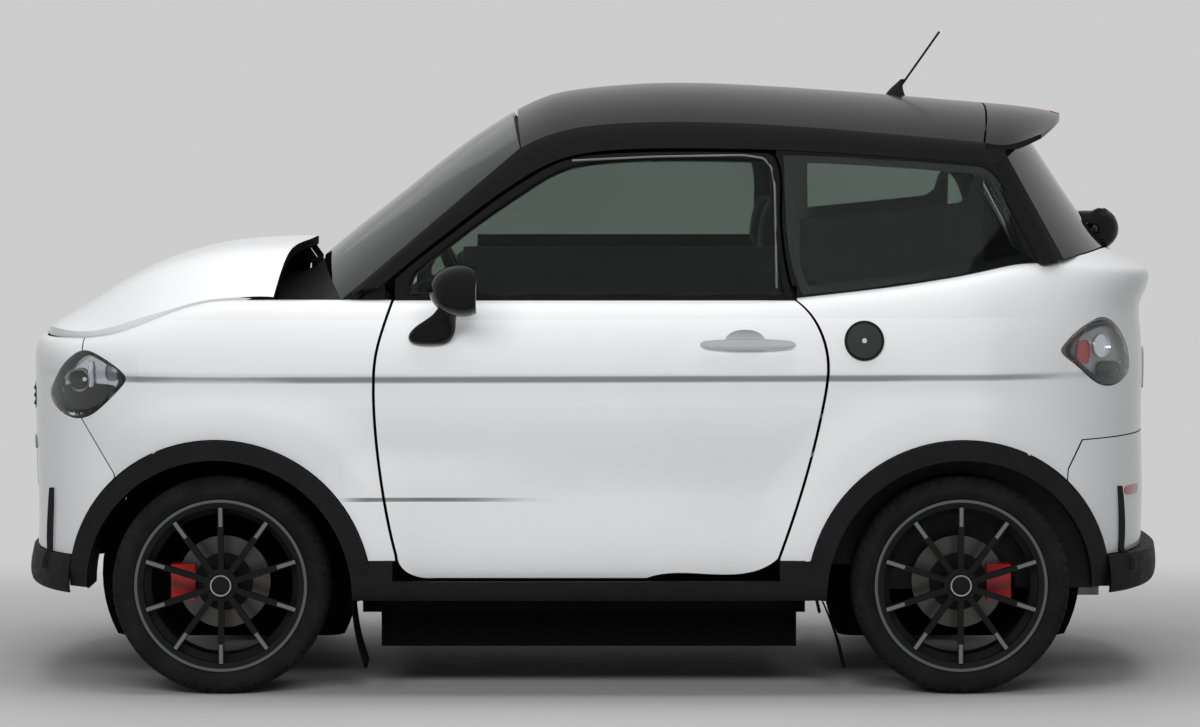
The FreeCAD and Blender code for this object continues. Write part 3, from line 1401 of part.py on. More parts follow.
# The mirror head's round sections: distance along the car, half width and half height
MIRROR_SECTIONS = [(292, 80, 58), (312, 84, 65), (345, 82, 64), (375, 70, 54), (395, 50, 38), (407, 24, 18)]
# The foot's level sections: height, then its middle (x, y), half length and half width
MIRROR_FOOT = [
    (892, 412, 734, 34, 12), (912, 409, 742, 56, 24), (938, 396, 758, 50, 25), (964, 376, 782, 33, 22),
    (992, 360, 804, 27, 20), (1022, 352, 815, 24, 18),
]


def oval(middle, half_long, half_wide):
    """A level ellipse, longer along the car."""
    ring = Part.Ellipse(middle + V(half_long, 0, 0), middle + V(0, half_wide, 0), middle)
    return Part.Wire(ring.toShape())


def make_mirrors():
    """Door mirrors: a rounded head with a flat face, on a leaning foot that stands on the door."""
    y, z = out(MIRROR_AT[0]), up(MIRROR_AT[1])
    rings = []
    for drawn_x, wide, tall in MIRROR_SECTIONS:
        x = along(drawn_x)
        ring = Part.Ellipse(V(x, y + wide, z), V(x, y, z + tall), V(x, y, z))
        rings.append(Part.Wire(ring.toShape()))
    head = Part.makeLoft(rings, True)
    foot = []
    for drawn_z, drawn_x, drawn_y, half_long, half_wide in MIRROR_FOOT:
        middle = V(along(drawn_x), out(drawn_y), up(drawn_z))
        foot.append(oval(middle, half_long, half_wide))
    arm = Part.makeLoft(foot, True).cut(side_slab(TOUCH, size("door_thickness") + 40))
    shape = fused([head, outermost(arm)])
    piece("mirror_left", shape)
    piece("mirror_right", mirrored(shape))


def make_antenna():
    x, z = along(-806), up(1521)
    sections = ((-20, 0, 31, 17), (0, 0, 27, 15), (22, -6, 15, 9), (44, -22, 7, 5))
    rings = [oval(V(x + lean, 0, z + rise), half, wide) for rise, lean, half, wide in sections]
    base = Part.makeLoft(rings, True)
    mast = Part.makeCylinder(3, size("antenna_length"), V(x, 0, z + 3), V(-117, 0, 166))
    roof = roof_net(ROOF_ROWS, SEAM)
    shape = fused([base, mast]).cut(slab(moved(roof, 0, 0, TOUCH), moved(roof, 0, 0, -60)))
    piece("antenna", max(shape.Solids, key=lambda s: s.CenterOfMass.z))


# Wheels


def plane_of(body, role):
    return next(f for f in body.Origin.OriginFeatures if f.Role == role)


def closed_sketch(body, name, role, points):
    """A closed outline on one of the body's planes, each corner dimensioned from the origin."""
    sketch = body.newObject("Sketcher::SketchObject", name)
    sketch.AttachmentSupport = [(plane_of(body, role), "")]
    sketch.MapMode = "FlatFace"
    count = len(points)
    for i, (a, b) in enumerate(points):
        end = points[(i + 1) % count]
        sketch.addGeometry(Part.LineSegment(V(a, b, 0), V(end[0], end[1], 0)))
    for i in range(count):
        sketch.addConstraint(Sketcher.Constraint("Coincident", i, 2, (i + 1) % count, 1))
    for i, corner in enumerate(points):
        for kind, value in zip(("DistanceX", "DistanceY"), corner):
            index = sketch.addConstraint(Sketcher.Constraint(kind, -1, 1, i, 1, float(value)))
            if isinstance(value, Bound):
                sketch.setExpression(f"Constraints[{index}]", value.text)
    return sketch


def revolve(body, name, points):
    """A turned feature about the body's Y axis, from (radius, distance along the axle) points."""
    sketch = closed_sketch(body, name + "Outline", "XY_Plane", points)
    turned = body.newObject("PartDesign::Revolution", name)
    turned.Profile = sketch
    turned.ReferenceAxis = (sketch, ["V_Axis"])
    turned.Angle = 360
    return turned


def tyre_outline():
    radius, half = cell("tyre_radius"), cell("tyre_width") / 2
    bead = cell("rim_radius") - cell("bead_depth") + cell("contact_gap")
    edge = cell("rim_width") / 2 - 7.5
    side = [(bead, edge), (cell("rim_radius") + 1, edge), (cell("rim_radius") + 27, half), (radius, half - 22)]
    return side + [(r, -y) for r, y in reversed(side)]


def rim_outline():
    flange, half = cell("rim_radius"), cell("rim_width") / 2
    bead, well, wall = flange - cell("bead_depth"), flange - cell("well_depth"), cell("rim_wall")
    outer = [
        (flange, half), (flange, half - 5), (bead, half - 7), (bead, half - 28), (well, half - 40),
        (well, 30 - half), (bead, 18 - half), (bead, 7 - half), (flange, 5 - half), (flange, -half),
    ]
    inner = [
        (flange - wall, -half), (bead - wall, 6 - half), (bead - wall, 20 - half), (well - wall, 32 - half),
        (well - wall, half - 42), (bead - wall, half - 30), (bead - wall, half - 6), (flange - wall, half),
    ]
    return outer + inner


def hub_outline():
    hub, disc = cell("hub_radius"), cell("disc_radius")
    bore = cell("stub_radius") + cell("contact_gap")
    inner = -cell("disc_offset")
    back = inner + cell("disc_thickness")
    end = cell("stub_reach") + 2
    face = cell("rim_width") / 2 - 4
    return [
        (0, face), (27, face), (30, face - 4), (hub, face - 8), (hub, back), (disc, back), (disc, inner),
        (bore, inner), (bore, end), (0, end),
    ]


def spoke_outline():
    """A spoke from the side: (distance along the axle, radius)."""
    face, rim = cell("rim_width") / 2, cell("rim_radius") - cell("bead_depth") - 3
    return [
        (face - 12, 30), (face - 5, 100), (face - 2, rim), (face - 24, rim), (face - 24, 120), (face - 40, 34),
    ]


def place_wheel(body, x, side):
    turn = FreeCAD.Rotation(V(0, 0, 1), 0 if side > 0 else 180)
    body.Placement = FreeCAD.Placement(V(), turn)
    for axis, value in zip("xyz", (x, WHEEL_Y * side, WHEEL_Z)):
        body.setExpression(f"Placement.Base.{axis}", text_of(value))


def make_wheel(name, x, side):
    """A cast wheel with its brake disc, turned and patterned about the axle."""
    body = doc.addObject("PartDesign::Body", "Body_" + name)
    revolve(body, "Hub", hub_outline())
    pad = body.newObject("PartDesign::Pad", "Spoke")
    pad.Profile = closed_sketch(body, "SpokeOutline", "YZ_Plane", spoke_outline())
    pad.SideType = "Symmetric"
    pad.setExpression("Length", "Sizes.spoke_width")
    ring = body.newObject("PartDesign::PolarPattern", "Spokes")
    ring.Originals = [pad]
    ring.Axis = (plane_of(body, "Y_Axis"), [""])
    ring.Angle = 360
    ring.setExpression("Occurrences", "Sizes.spoke_count")
    body.Tip = ring
    body.Tip = revolve(body, "Rim", rim_outline())
    place_wheel(body, x, side)
    finish(body, name)


def make_tyre(name, x, side):
    body = doc.addObject("PartDesign::Body", "Body_" + name)
    body.Tip = revolve(body, "Tread", tyre_outline())
    place_wheel(body, x, side)
    finish(body, name)


def make_wheels():
    for end, x in (("front", AXLE_F), ("rear", AXLE_R)):
        for side_name, side in (("left", 1), ("right", -1)):
            make_tyre(f"tyre_{end}_{side_name}", x, side)
            make_wheel(f"wheel_{end}_{side_name}", x, side)


make_wings()
make_quarters_and_tail()
make_bumpers()
make_lamps()
make_lower_trim()
make_doors()
make_quarter_glass()
greenhouse = make_greenhouse()
make_roof()
make_tailgate()
make_rear_pillars(greenhouse)
make_spoiler()
make_bonnet()
make_cowl(greenhouse)
make_floor()
make_liners()
make_front_suspension()
make_knuckles()
make_rear_axle()
make_engine()
make_exhaust()
make_seats()
make_dashboard()
make_steering_wheel()
make_mirrors()
make_antenna()
make_wheels()
doc.recompute()

# Checks, then one STEP file for each sub-part

for item in doc.Objects:
    if "Invalid" in item.State or "Error" in item.State:
        raise RuntimeError(f"{item.Label} did not build: {item.State}")
for node in NODES:
    if node.Shape.isNull() or not node.Shape.isValid():
        raise RuntimeError(f"{node.Label} has no valid shape")

os.makedirs("parts", exist_ok=True)
for node in NODES:
    node.Shape.exportStep(f"parts/{node.Label}.step")
print(f"{len(NODES)} sub-parts written")
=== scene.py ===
import math

import bmesh
import bpy
from mathutils import Matrix, Vector
from mathutils.bvhtree import BVHTree


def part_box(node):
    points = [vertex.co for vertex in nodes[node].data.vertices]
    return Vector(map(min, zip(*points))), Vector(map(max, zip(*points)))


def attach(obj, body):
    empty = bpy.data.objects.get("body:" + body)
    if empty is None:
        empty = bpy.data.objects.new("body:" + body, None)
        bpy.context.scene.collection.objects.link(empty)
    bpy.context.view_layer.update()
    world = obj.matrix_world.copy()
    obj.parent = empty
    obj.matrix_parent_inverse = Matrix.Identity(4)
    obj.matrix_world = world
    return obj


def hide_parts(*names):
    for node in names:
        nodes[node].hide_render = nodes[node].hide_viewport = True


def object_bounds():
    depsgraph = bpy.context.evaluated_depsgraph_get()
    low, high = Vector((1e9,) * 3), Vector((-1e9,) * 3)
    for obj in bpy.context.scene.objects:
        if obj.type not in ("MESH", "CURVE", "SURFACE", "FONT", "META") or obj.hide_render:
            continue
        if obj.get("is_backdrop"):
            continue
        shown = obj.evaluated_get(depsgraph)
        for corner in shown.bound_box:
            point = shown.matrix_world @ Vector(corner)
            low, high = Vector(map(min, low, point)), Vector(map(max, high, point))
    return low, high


# A small white two-seat car with a black roof, in metres: +X forward, +Y to the car's left, +Z up.
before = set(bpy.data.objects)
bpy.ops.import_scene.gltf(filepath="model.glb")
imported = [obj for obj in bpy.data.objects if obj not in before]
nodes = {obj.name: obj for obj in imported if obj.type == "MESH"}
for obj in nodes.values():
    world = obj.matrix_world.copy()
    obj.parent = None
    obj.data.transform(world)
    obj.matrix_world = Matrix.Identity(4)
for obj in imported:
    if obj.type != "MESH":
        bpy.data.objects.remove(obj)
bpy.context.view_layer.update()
SIDES = (("left", 1), ("right", -1))

# Axles and wheels, as the frame has them
AXLES = {"front": 0.945, "rear": -0.931}
AXLE_Z = 0.277
WHEEL_Y = 0.62

# Camera at the photograph's place: its tilt is in degrees

CAMERA_PLACE = (-0.016, 11.45, 1.45)
CAMERA_TILT = 3.239

camera_data = bpy.data.cameras.new("camera")
camera_data.lens = 128
camera_data.sensor_width = 36
camera = bpy.data.objects.new("camera", camera_data)
camera.location = CAMERA_PLACE
camera.rotation_euler = (math.radians(90 - CAMERA_TILT), 0, math.radians(180))
bpy.context.scene.collection.objects.link(camera)
bpy.context.scene.camera = camera

# Materials

WHITE = (0.74, 0.75, 0.76)
GLASS_GREEN = (0.36, 0.41, 0.385)
# Above this height a door is its black window frame
BELT_Z = 0.9992
# The pressed line along the side falls by SIDE_DROP towards the front; the short one is low on the door
SIDE_LINE_Z, SIDE_DROP = 0.8075, 0.008
CREASE_Z = 0.5
# The relief of the arches fades out between these two distances from the axle
FLARE_REACH = (0.44, 0.56)
# What is bright on a wheel, by its reach from the axle and how far out it stands
SPOKES = 10
SPOKE_REACH, SPOKE_OUT, SPOKE_HALF = (0.150, 0.1985), 0.06, 0.0046
LIP_REACH, LIP_OUT, LIP_SHARE = 0.2115, 0.0665, 0.55
DISC_REACH, DISC_OUT = (0.074, 0.1185), (-0.0485, -0.034)
# The brake caliper stands beyond this distance from the axle and from the car's middle
CALIPER_X, CALIPER_Y = 0.0718, 0.547


class Nodes:
    """Short names for the few shader nodes that the materials are made of."""

    def __init__(self, name):
        self.material = bpy.data.materials.new(name)
        self.material.use_nodes = True
        self.tree = self.material.node_tree
        self.shader = self.tree.nodes["Principled BSDF"]
        self.spot = None

    def add(self, kind, **settings):
        """A new shader node with its settings."""
        node = self.tree.nodes.new("ShaderNode" + kind)
        for key, value in settings.items():
            setattr(node, key, value)
        return node

    def link(self, source, target):
        self.tree.links.new(source, target)

    def put(self, value, socket):
        """Gives a socket a link or a plain value."""
        if isinstance(value, bpy.types.NodeSocket):
            self.link(value, socket)
        else:
            socket.default_value = value

    def place(self):
        """Where a point is on the piece, in metres, as one socket."""
        if self.spot is None:
            self.spot = self.add("TexCoord").outputs["Object"]
        return self.spot

    def axis(self, letter, source=None):
        """One coordinate of the place on the piece, or of another vector."""
        split = self.add("SeparateXYZ")
        self.link(source or self.place(), split.inputs[0])
        return split.outputs[letter]

    def math(self, operation, *values, clamp=False):
        node = self.add("Math", operation=operation, use_clamp=clamp)
        for value, socket in zip(values, node.inputs):
            self.put(value, socket)
        return node.outputs[0]

    def noise(self, scale, detail):
        node = self.add("TexNoise")
        self.link(self.place(), node.inputs["Vector"])
        node.inputs["Scale"].default_value = scale
        node.inputs["Detail"].default_value = detail
        return node.outputs["Fac"]

    def spread(self, value, low, high, new_low=0.0, new_high=1.0, kind="LINEAR"):
        """Maps low to high onto the new range, with soft ends where kind says so."""
        node = self.add("MapRange", interpolation_type=kind)
        self.put(value, node.inputs["Value"])
        for key, number in zip(("From Min", "From Max", "To Min", "To Max"), (low, high, new_low, new_high)):
            node.inputs[key].default_value = number
        return node.outputs[0]

    def between(self, value, low, high):
        """1 where the value lies between low and high, else 0."""
        return self.math("MULTIPLY", self.math("GREATER_THAN", value, low), self.math("LESS_THAN", value, high))

    def colours(self, share, a, b):
        """Colour a where share is 0 and b where it is 1."""
        node = self.add("Mix", data_type="RGBA")
        self.put(share, node.inputs[0])
        for value, socket in ((a, node.inputs[6]), (b, node.inputs[7])):
            self.put(value if isinstance(value, bpy.types.NodeSocket) else (*value, 1), socket)
        return node.outputs[2]

    def bump(self, height, strength, distance, before=None):
        """Relief in the finish, on top of the relief before it."""
        node = self.add("Bump")
        node.inputs["Strength"].default_value = strength
        node.inputs["Distance"].default_value = distance
        self.link(height, node.inputs["Height"])
        if before is not None:
            self.link(before, node.inputs["Normal"])
        self.link(node.outputs[0], self.shader.inputs["Normal"])
        return node.outputs[0]

    def set(self, **values):
        """Fills the shader's inputs by name, with _ for a space."""
        for key, value in values.items():
            socket = self.shader.inputs[key.replace("_", " ")]
            if isinstance(value, tuple) and len(value) == 3 and len(socket.default_value) == 4:
                value = (*value, 1)
            self.put(value, socket)


def grained(name, colour, rough, grain=900, depth=0.0004, vary=0.25, metal=0.0, coat=0.0, shine=0.5):
    """Moulded plastic, casting or coated steel: a fine grain with slow changes in colour and shine."""
    m = Nodes(name)
    slow = m.noise(9, 4)
    dark = tuple(c * (1 - vary) for c in colour)
    m.set(Base_Color=m.colours(m.spread(slow, 0.3, 0.7), dark, colour), Metallic=metal, Coat_Weight=coat)
    m.set(Specular_IOR_Level=shine)
    m.set(Roughness=m.spread(m.noise(60, 3), 0.3, 0.7, rough * 0.85, min(1, rough * 1.15)))
    m.bump(m.noise(grain, 2), 0.35, depth)
    return m


def paint(name, colour, rough=0.28):
    """Sprayed body colour under clear lacquer, with a faint orange peel."""
    m = Nodes(name)
    soft = tuple(c * 0.965 for c in colour)
    m.set(Base_Color=m.colours(m.spread(m.noise(3, 3), 0.35, 0.65), soft, colour))
    m.set(Roughness=rough, Coat_Weight=0.7, Coat_Roughness=0.06, Specular_IOR_Level=0.4)
    m.bump(m.noise(420, 1), 0.06, 0.0003)
    return m


def side_line(m):
    """The soft pressed line along the whole side, below the belt."""
    z, x = m.axis("Z"), m.axis("X")
    line = m.math("ADD", SIDE_LINE_Z, m.math("MULTIPLY", m.spread(x, -1.1, 1.2), -SIDE_DROP))
    off = m.math("SUBTRACT", z, line)
    rise = m.spread(off, -0.011, 0.009, kind="SMOOTHSTEP")
    fall = m.spread(off, 0.009, 0.15, 1.0, 0.0)
    ends = m.math("MULTIPLY", m.spread(x, -1.2, -1.0), m.spread(x, 1.15, 1.3, 1.0, 0.0))
    under = m.spread(off, -0.07, -0.011, 0.3, 0.0)
    height = m.math("MULTIPLY", m.math("ADD", m.math("MULTIPLY", rise, fall), under), ends)
    before = m.bump(height, 1.0, 0.020, m.shader.inputs["Normal"].links[0].from_socket)
    for axle in AXLES.values():
        across, up = m.math("SUBTRACT", x, axle), m.math("SUBTRACT", z, AXLE_Z)
        reach = m.math("SQRT", m.math("ADD", m.math("MULTIPLY", across, across), m.math("MULTIPLY", up, up)))
        flare = m.spread(reach, *FLARE_REACH, 1.0, 0.0, "SMOOTHSTEP")
        before = m.bump(flare, 1.0, 0.018, before)


white_paint = paint("paint_white", WHITE)
white_quarter = paint("paint_quarter", WHITE)
side_line(white_quarter)
black_paint = paint("paint_black", (0.0065, 0.0065, 0.007), 0.2)
black_paint.set(Coat_Weight=0.05, Specular_IOR_Level=0.12)
gloss_black = paint("gloss_black", (0.003, 0.003, 0.0032), 0.12)
gloss_black.set(Coat_Weight=0.06, Specular_IOR_Level=0.16)
cladding = grained("cladding_black", (0.011, 0.011, 0.012), 0.6, 1400, 0.0006, shine=0.14)
soft_black = grained("moulding_black", (0.009, 0.009, 0.0095), 0.45, 1800, 0.0003, shine=0.2)
underbody = grained("underbody_black", (0.005, 0.005, 0.005), 0.9, 300, 0.001, shine=0.04)
casting = grained("casting_grey", (0.12, 0.12, 0.125), 0.6, 260, 0.0015, metal=0.6)
steel = grained("exhaust_steel", (0.22, 0.2, 0.18), 0.45, 400, 0.0005, metal=1.0, vary=0.5)
dash_grain = grained("dash_grain", (0.014, 0.014, 0.0145), 0.75, 700, 0.001, shine=0.12)
chrome = grained("chrome_bright", (0.72, 0.73, 0.75), 0.09, 60, 0.00002, vary=0.06, metal=1.0)
silver = grained("silver_satin", (0.42, 0.43, 0.44), 0.32, 500, 0.0001, vary=0.15, metal=0.9)
seal_grey = grained("seal_grey", (0.16, 0.17, 0.165), 0.45, 600, 0.0003)
plate_grey = grained("plate_pale", (0.55, 0.56, 0.56), 0.4, 500, 0.0002, vary=0.08)


def door_material():
    """White outside, black window frame above the belt and dark trim inside."""
    m = paint("paint_door", WHITE)
    z = m.axis("Z")
    dark = m.math("GREATER_THAN", z, BELT_Z)
    plain = m.shader.inputs["Base Color"].links[0].from_socket
    m.set(Base_Color=m.colours(dark, plain, (0.008, 0.008, 0.0085)))
    m.set(Roughness=m.spread(dark, 0, 1, 0.28, 0.5), Coat_Weight=m.spread(dark, 0, 1, 0.7, 0.0))
    m.set(Specular_IOR_Level=m.spread(dark, 0, 1, 0.4, 0.08))
    crease(m)
    return m


def crease(m):
    """The short pressed line low on the door and the wing, fading towards the back."""
    side_line(m)
    z, x = m.axis("Z"), m.axis("X")
    off = m.math("SUBTRACT", z, CREASE_Z)
    rise = m.spread(off, -0.006, 0.004)
    fall = m.spread(off, 0.004, 0.15, 1.0, 0.0, "SMOOTHERSTEP")
    fade = m.spread(x, 0.04, 0.5, kind="SMOOTHERSTEP")
    front = m.spread(x, 0.57, 0.64, 1.0, 0.0)
    height = m.math("MULTIPLY", m.math("MULTIPLY", rise, fall), m.math("MULTIPLY", fade, front))
    before = m.bump(height, 1.0, 0.022, m.shader.inputs["Normal"].links[0].from_socket)
    m.bump(m.spread(z, 0.50, 0.72, kind="SMOOTHSTEP"), 1.0, 0.030, before)


white_door = door_material()
white_wing = paint("paint_wing", WHITE)
crease(white_wing)


def glass(name, colour, ior):
    """Tinted clear glass or plastic."""
    m = Nodes(name)
    m.set(Base_Color=m.colours(m.spread(m.noise(2, 2), 0.3, 0.7), tuple(c * 0.94 for c in colour), colour))
    m.set(Transmission_Weight=1.0, Roughness=0.0, IOR=ior)
    m.bump(m.noise(7, 1), 0.02, 0.0005)
    return m


side_glass = glass("glass_side", GLASS_GREEN, 1.12)
screen_glass = glass("glass_screen", (0.09, 0.105, 0.1), 1.38)
quarter_glass = glass("glass_dark", GLASS_GREEN, 1.15)
rear_glass = glass("glass_rear", (0.03, 0.033, 0.032), 1.4)
lens_clear = glass("lens_clear", (0.93, 0.95, 0.97), 1.45)


def wheel_material(end, side):
    """Black casting with machined outer faces on the spokes, a bright rim edge and the brake disc behind."""
    m = Nodes(f"wheel_{end}_{side}")
    sign = dict(SIDES)[side]
    x = m.math("SUBTRACT", m.axis("X"), AXLES[end])
    z = m.math("SUBTRACT", m.axis("Z"), AXLE_Z)
    reach = m.math("SQRT", m.math("ADD", m.math("MULTIPLY", x, x), m.math("MULTIPLY", z, z)))
    off = m.math("SUBTRACT", m.math("MULTIPLY", m.axis("Y"), float(sign)), WHEEL_Y)
    face = m.math("MULTIPLY", m.axis("Y", m.add("NewGeometry").outputs["True Normal"]), float(sign))
    flat = m.math("GREATER_THAN", face, 0.93)
    outer = m.between(reach, *SPOKE_REACH)
    turn = m.math("MULTIPLY", m.math("ARCTAN2", z, x), SPOKES / (2 * math.pi))
    beside = m.math("ABSOLUTE", m.math("SUBTRACT", m.math("FRACT", m.math("ADD", turn, float(SPOKES))), 0.5))
    beside = m.math("MULTIPLY", m.math("MULTIPLY", beside, 2 * math.pi / SPOKES), reach)
    middle = m.math("LESS_THAN", beside, SPOKE_HALF)
    spoke = m.math("MULTIPLY", m.math("MULTIPLY", m.math("GREATER_THAN", off, SPOKE_OUT), outer), middle)
    lip = m.math("MULTIPLY", m.math("GREATER_THAN", off, LIP_OUT), m.math("GREATER_THAN", reach, LIP_REACH))
    lip = m.math("MULTIPLY", lip, LIP_SHARE)
    disc = m.math("MULTIPLY", m.between(off, *DISC_OUT), m.between(reach, *DISC_REACH))
    bright = m.math("MULTIPLY", flat, m.math("MAXIMUM", spoke, lip))
    turned = m.add("TexWave", wave_type="RINGS", rings_direction="Y")
    shift = m.add("VectorMath", operation="SUBTRACT")
    m.link(m.place(), shift.inputs[0])
    shift.inputs[1].default_value = (AXLES[end], 0, AXLE_Z)
    m.link(shift.outputs[0], turned.inputs["Vector"])
    turned.inputs["Scale"].default_value = 600
    cut = m.colours(turned.outputs["Fac"], (0.16, 0.165, 0.17), (0.26, 0.265, 0.27))
    base = m.colours(bright, (0.006, 0.006, 0.0062), cut)
    m.set(Base_Color=m.colours(disc, base, (0.085, 0.082, 0.08)))
    metal = m.math("MAXIMUM", bright, disc)
    m.set(Metallic=metal, Roughness=m.spread(metal, 0, 1, 0.4, 0.28), Specular_IOR_Level=0.15)
    m.bump(m.noise(700, 2), 0.15, 0.0002)
    return m.material


def running_gear(name, axle, sign):
    """Black running gear with a red brake caliper."""
    m = grained(name, (0.008, 0.008, 0.008), 0.6, 300, 0.0008)
    x = m.math("MULTIPLY", m.math("SUBTRACT", m.axis("X"), axle), float(sign))
    y = m.math("ABSOLUTE", m.axis("Y"))
    red = m.math("MULTIPLY", m.math("GREATER_THAN", x, CALIPER_X), m.math("GREATER_THAN", y, CALIPER_Y))
    plain = m.shader.inputs["Base Color"].links[0].from_socket
    m.set(Base_Color=m.colours(red, plain, (0.36, 0.008, 0.008)))
    m.set(Roughness=m.spread(red, 0, 1, 0.6, 0.3))
    return m.material


def rubber():
    """Dull black rubber."""
    m = Nodes("tyre_rubber")
    patches = m.spread(m.noise(14, 4), 0.35, 0.65)
    m.set(Base_Color=m.colours(patches, (0.0085, 0.0085, 0.009), (0.014, 0.014, 0.0145)))
    m.set(Roughness=m.spread(m.noise(80, 3), 0.3, 0.7, 0.7, 0.85), Specular_IOR_Level=0.12)
    m.bump(m.noise(1500, 2), 0.3, 0.0003)
    return m.material


def cloth(name, colour, scale=900):
    """Woven cloth: two crossed sets of threads."""
    m = Nodes(name)
    waves = []
    for direction in ("X", "Z"):
        wave = m.add("TexWave", bands_direction=direction)
        m.link(m.place(), wave.inputs["Vector"])
        wave.inputs["Scale"].default_value = scale / 6.3
        wave.inputs["Distortion"].default_value = 0.4
        waves.append(wave.outputs["Fac"])
    weave = m.math("MULTIPLY", *waves)
    lit = tuple(c * 1.7 for c in colour)
    m.set(Base_Color=m.colours(weave, colour, lit), Roughness=0.92, Sheen_Weight=0.3)
    m.bump(weave, 0.5, 0.0008)
    return m


seat_cloth = cloth("seat_cloth", (0.022, 0.022, 0.023))
seat_edge = grained("seat_vinyl", (0.016, 0.016, 0.0165), 0.55, 500, 0.001, shine=0.2)

# Surfaces that pieces are set on

# Rays start this far out, beyond the bumpers and the mirrors
FAR_X, FAR_Y = 2.0, 1.2
# Faces that lie deeper than this behind their node's outer surface get its inside material
SKIN = 0.006
# A face looks in or out as seen from this line along the car's middle
CORE_Z, CORE_BACK, CORE_FRONT = 0.72, -0.9, 0.8
# Faces of the bonnet behind this line and not turned up, its white rear edge and lugs, get the black inside
# finish as painted shade
BONNET_REAR_X = 0.88

trees = {}


def tree_of(name):
    """A node's faces, ready for rays."""
    if name not in trees:
        mesh = nodes[name].data
        corners = [v.co for v in mesh.vertices]
        trees[name] = BVHTree.FromPolygons(corners, [tuple(p.vertices) for p in mesh.polygons])
    return trees[name]


def touch(names, origin, direction):
    """The nearest point where a line from origin meets any of the named nodes, and the face's normal."""
    best = None
    for name in names:
        place, normal, _, reach = tree_of(name).ray_cast(Vector(origin), Vector(direction))
        if place is not None and (best is None or reach < best[2]):
            best = (place, normal, reach)
    return best


def side_y(names, x, z, sign=1):
    """How far out the side stands at (x, z)."""
    hit = touch(names, (x, FAR_Y * sign, z), (0, -sign, 0))
    return hit[0].y if hit else None


def as_material(material):
    """The Blender material behind a Nodes object, or the material itself."""
    return material.material if isinstance(material, Nodes) else material


def dress(name, material, inside=None):
    """Gives a CAD node its material, and the faces that look into the car another one."""
    data = nodes[name].data
    data.materials.clear()
    data.materials.append(as_material(material))
    if inside is None:
        return
    data.materials.append(as_material(inside))
    tree = tree_of(name)
    for p in data.polygons:
        at = p.center
        core = Vector((max(CORE_BACK, min(CORE_FRONT, at.x)), at.y * 0.25, CORE_Z))
        way = (at - core).normalized()
        first = tree.ray_cast(at + way * 0.7, -way)[0]
        behind = first is not None and (first - at).length > SKIN
        turned = p.normal.dot(way)
        p.material_index = 1 if turned < -0.12 or behind and turned < 0.5 else 0


dress("front_bumper", white_paint, underbody)
dress("rear_bumper", white_paint, underbody)
dress("tail_panel", white_paint, underbody)
dress("bonnet", white_paint, underbody)
# Painted shade: the bonnet's rear edge is white metal, made black where it lies in shadow
for face in nodes["bonnet"].data.polygons:
    if face.center.x < BONNET_REAR_X and face.normal.z < 0.2:
        face.material_index = 1
dress("quarter_panels", white_quarter, dash_grain)
dress("front_wings", white_wing, underbody)
for name in ("door_left", "door_right"):
    dress(name, white_door, dash_grain)
for name in ("roof_panel", "greenhouse_frame", "roof_spoiler"):
    dress(name, black_paint, dash_grain)
dress("rear_pillars", gloss_black, dash_grain)
for name in ("mirror_left", "mirror_right"):
    dress(name, gloss_black)
for name in ("side_trims", "end_trims"):
    dress(name, cladding)
for name in ("cowl_panel", "wheel_arch_liners", "antenna"):
    dress(name, soft_black)
dress("chassis_floor", underbody)
dress("engine_block", casting)
dress("exhaust", steel)
dress("dashboard", dash_grain)
dress("steering_wheel", soft_black)
for name in ("door_glass_left", "door_glass_right"):
    dress(name, side_glass)
dress("quarter_glass", quarter_glass)
dress("windscreen", screen_glass)
dress("tailgate_glass", rear_glass)
dress("front_suspension", underbody)
for side, _ in SIDES:
    dress("knuckle_" + side, running_gear("knuckle_" + side, AXLES["front"], 1))
dress("rear_axle", running_gear("rear_axle", AXLES["rear"], -1))
for end in AXLES:
    for side, _ in SIDES:
        dress(f"wheel_{end}_{side}", wheel_material(end, side))


# Pieces


def mesh_piece(name, verts, faces, material, body):
    """An object of points and faces that rides on a body."""
    mesh = bpy.data.meshes.new(name)
    mesh.from_pydata([tuple(v) for v in verts], [], faces)
    mesh.update()
    bm = bmesh.new()
    bm.from_mesh(mesh)
    bmesh.ops.remove_doubles(bm, verts=bm.verts, dist=1e-6)
    bmesh.ops.recalc_face_normals(bm, faces=bm.faces)
    bm.to_mesh(mesh)
    bm.free()
    mesh.shade_smooth()
    mesh.set_sharp_from_angle(angle=math.radians(40))
    obj = bpy.data.objects.new(name, mesh)
    bpy.context.scene.collection.objects.link(obj)
    mesh.materials.append(as_material(material))
    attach(obj, body)
    return obj


def loft(name, rings, material, body):
    """A closed skin over rings of points."""
    count = len(rings[0])
    verts = [p for ring in rings for p in ring]
    faces = []
    for i in range(len(rings) - 1):
        for j in range(count):
            k = (j + 1) % count
            faces.append((i * count + j, i * count + k, (i + 1) * count + k, (i + 1) * count + j))
    faces += [tuple(range(count)), tuple(range((len(rings) - 1) * count, len(rings) * count))]
    return mesh_piece(name, verts, faces, material, body)


def lathe(name, profile, centre, sign, material, body, segments=96, dent=None):
    """A turned shape about the axle direction, from (radius, distance out) points."""
    cx, cy, cz = centre
    rings = []
    for i in range(segments):
        angle = 2 * math.pi * i / segments
        ring = []
        for radius, off in profile:
            r = radius - (dent(angle, radius, off) if dent else 0)
            ring.append((cx + r * math.cos(angle), cy + sign * off, cz + r * math.sin(angle)))
        rings.append(ring)
    count = len(profile)
    verts = [p for ring in rings for p in ring]
    faces = []
    for i in range(segments):
        n = (i + 1) % segments
        for j in range(count - 1):
            faces.append((i * count + j, i * count + j + 1, n * count + j + 1, n * count + j))
    return mesh_piece(name, verts, faces, material, body)


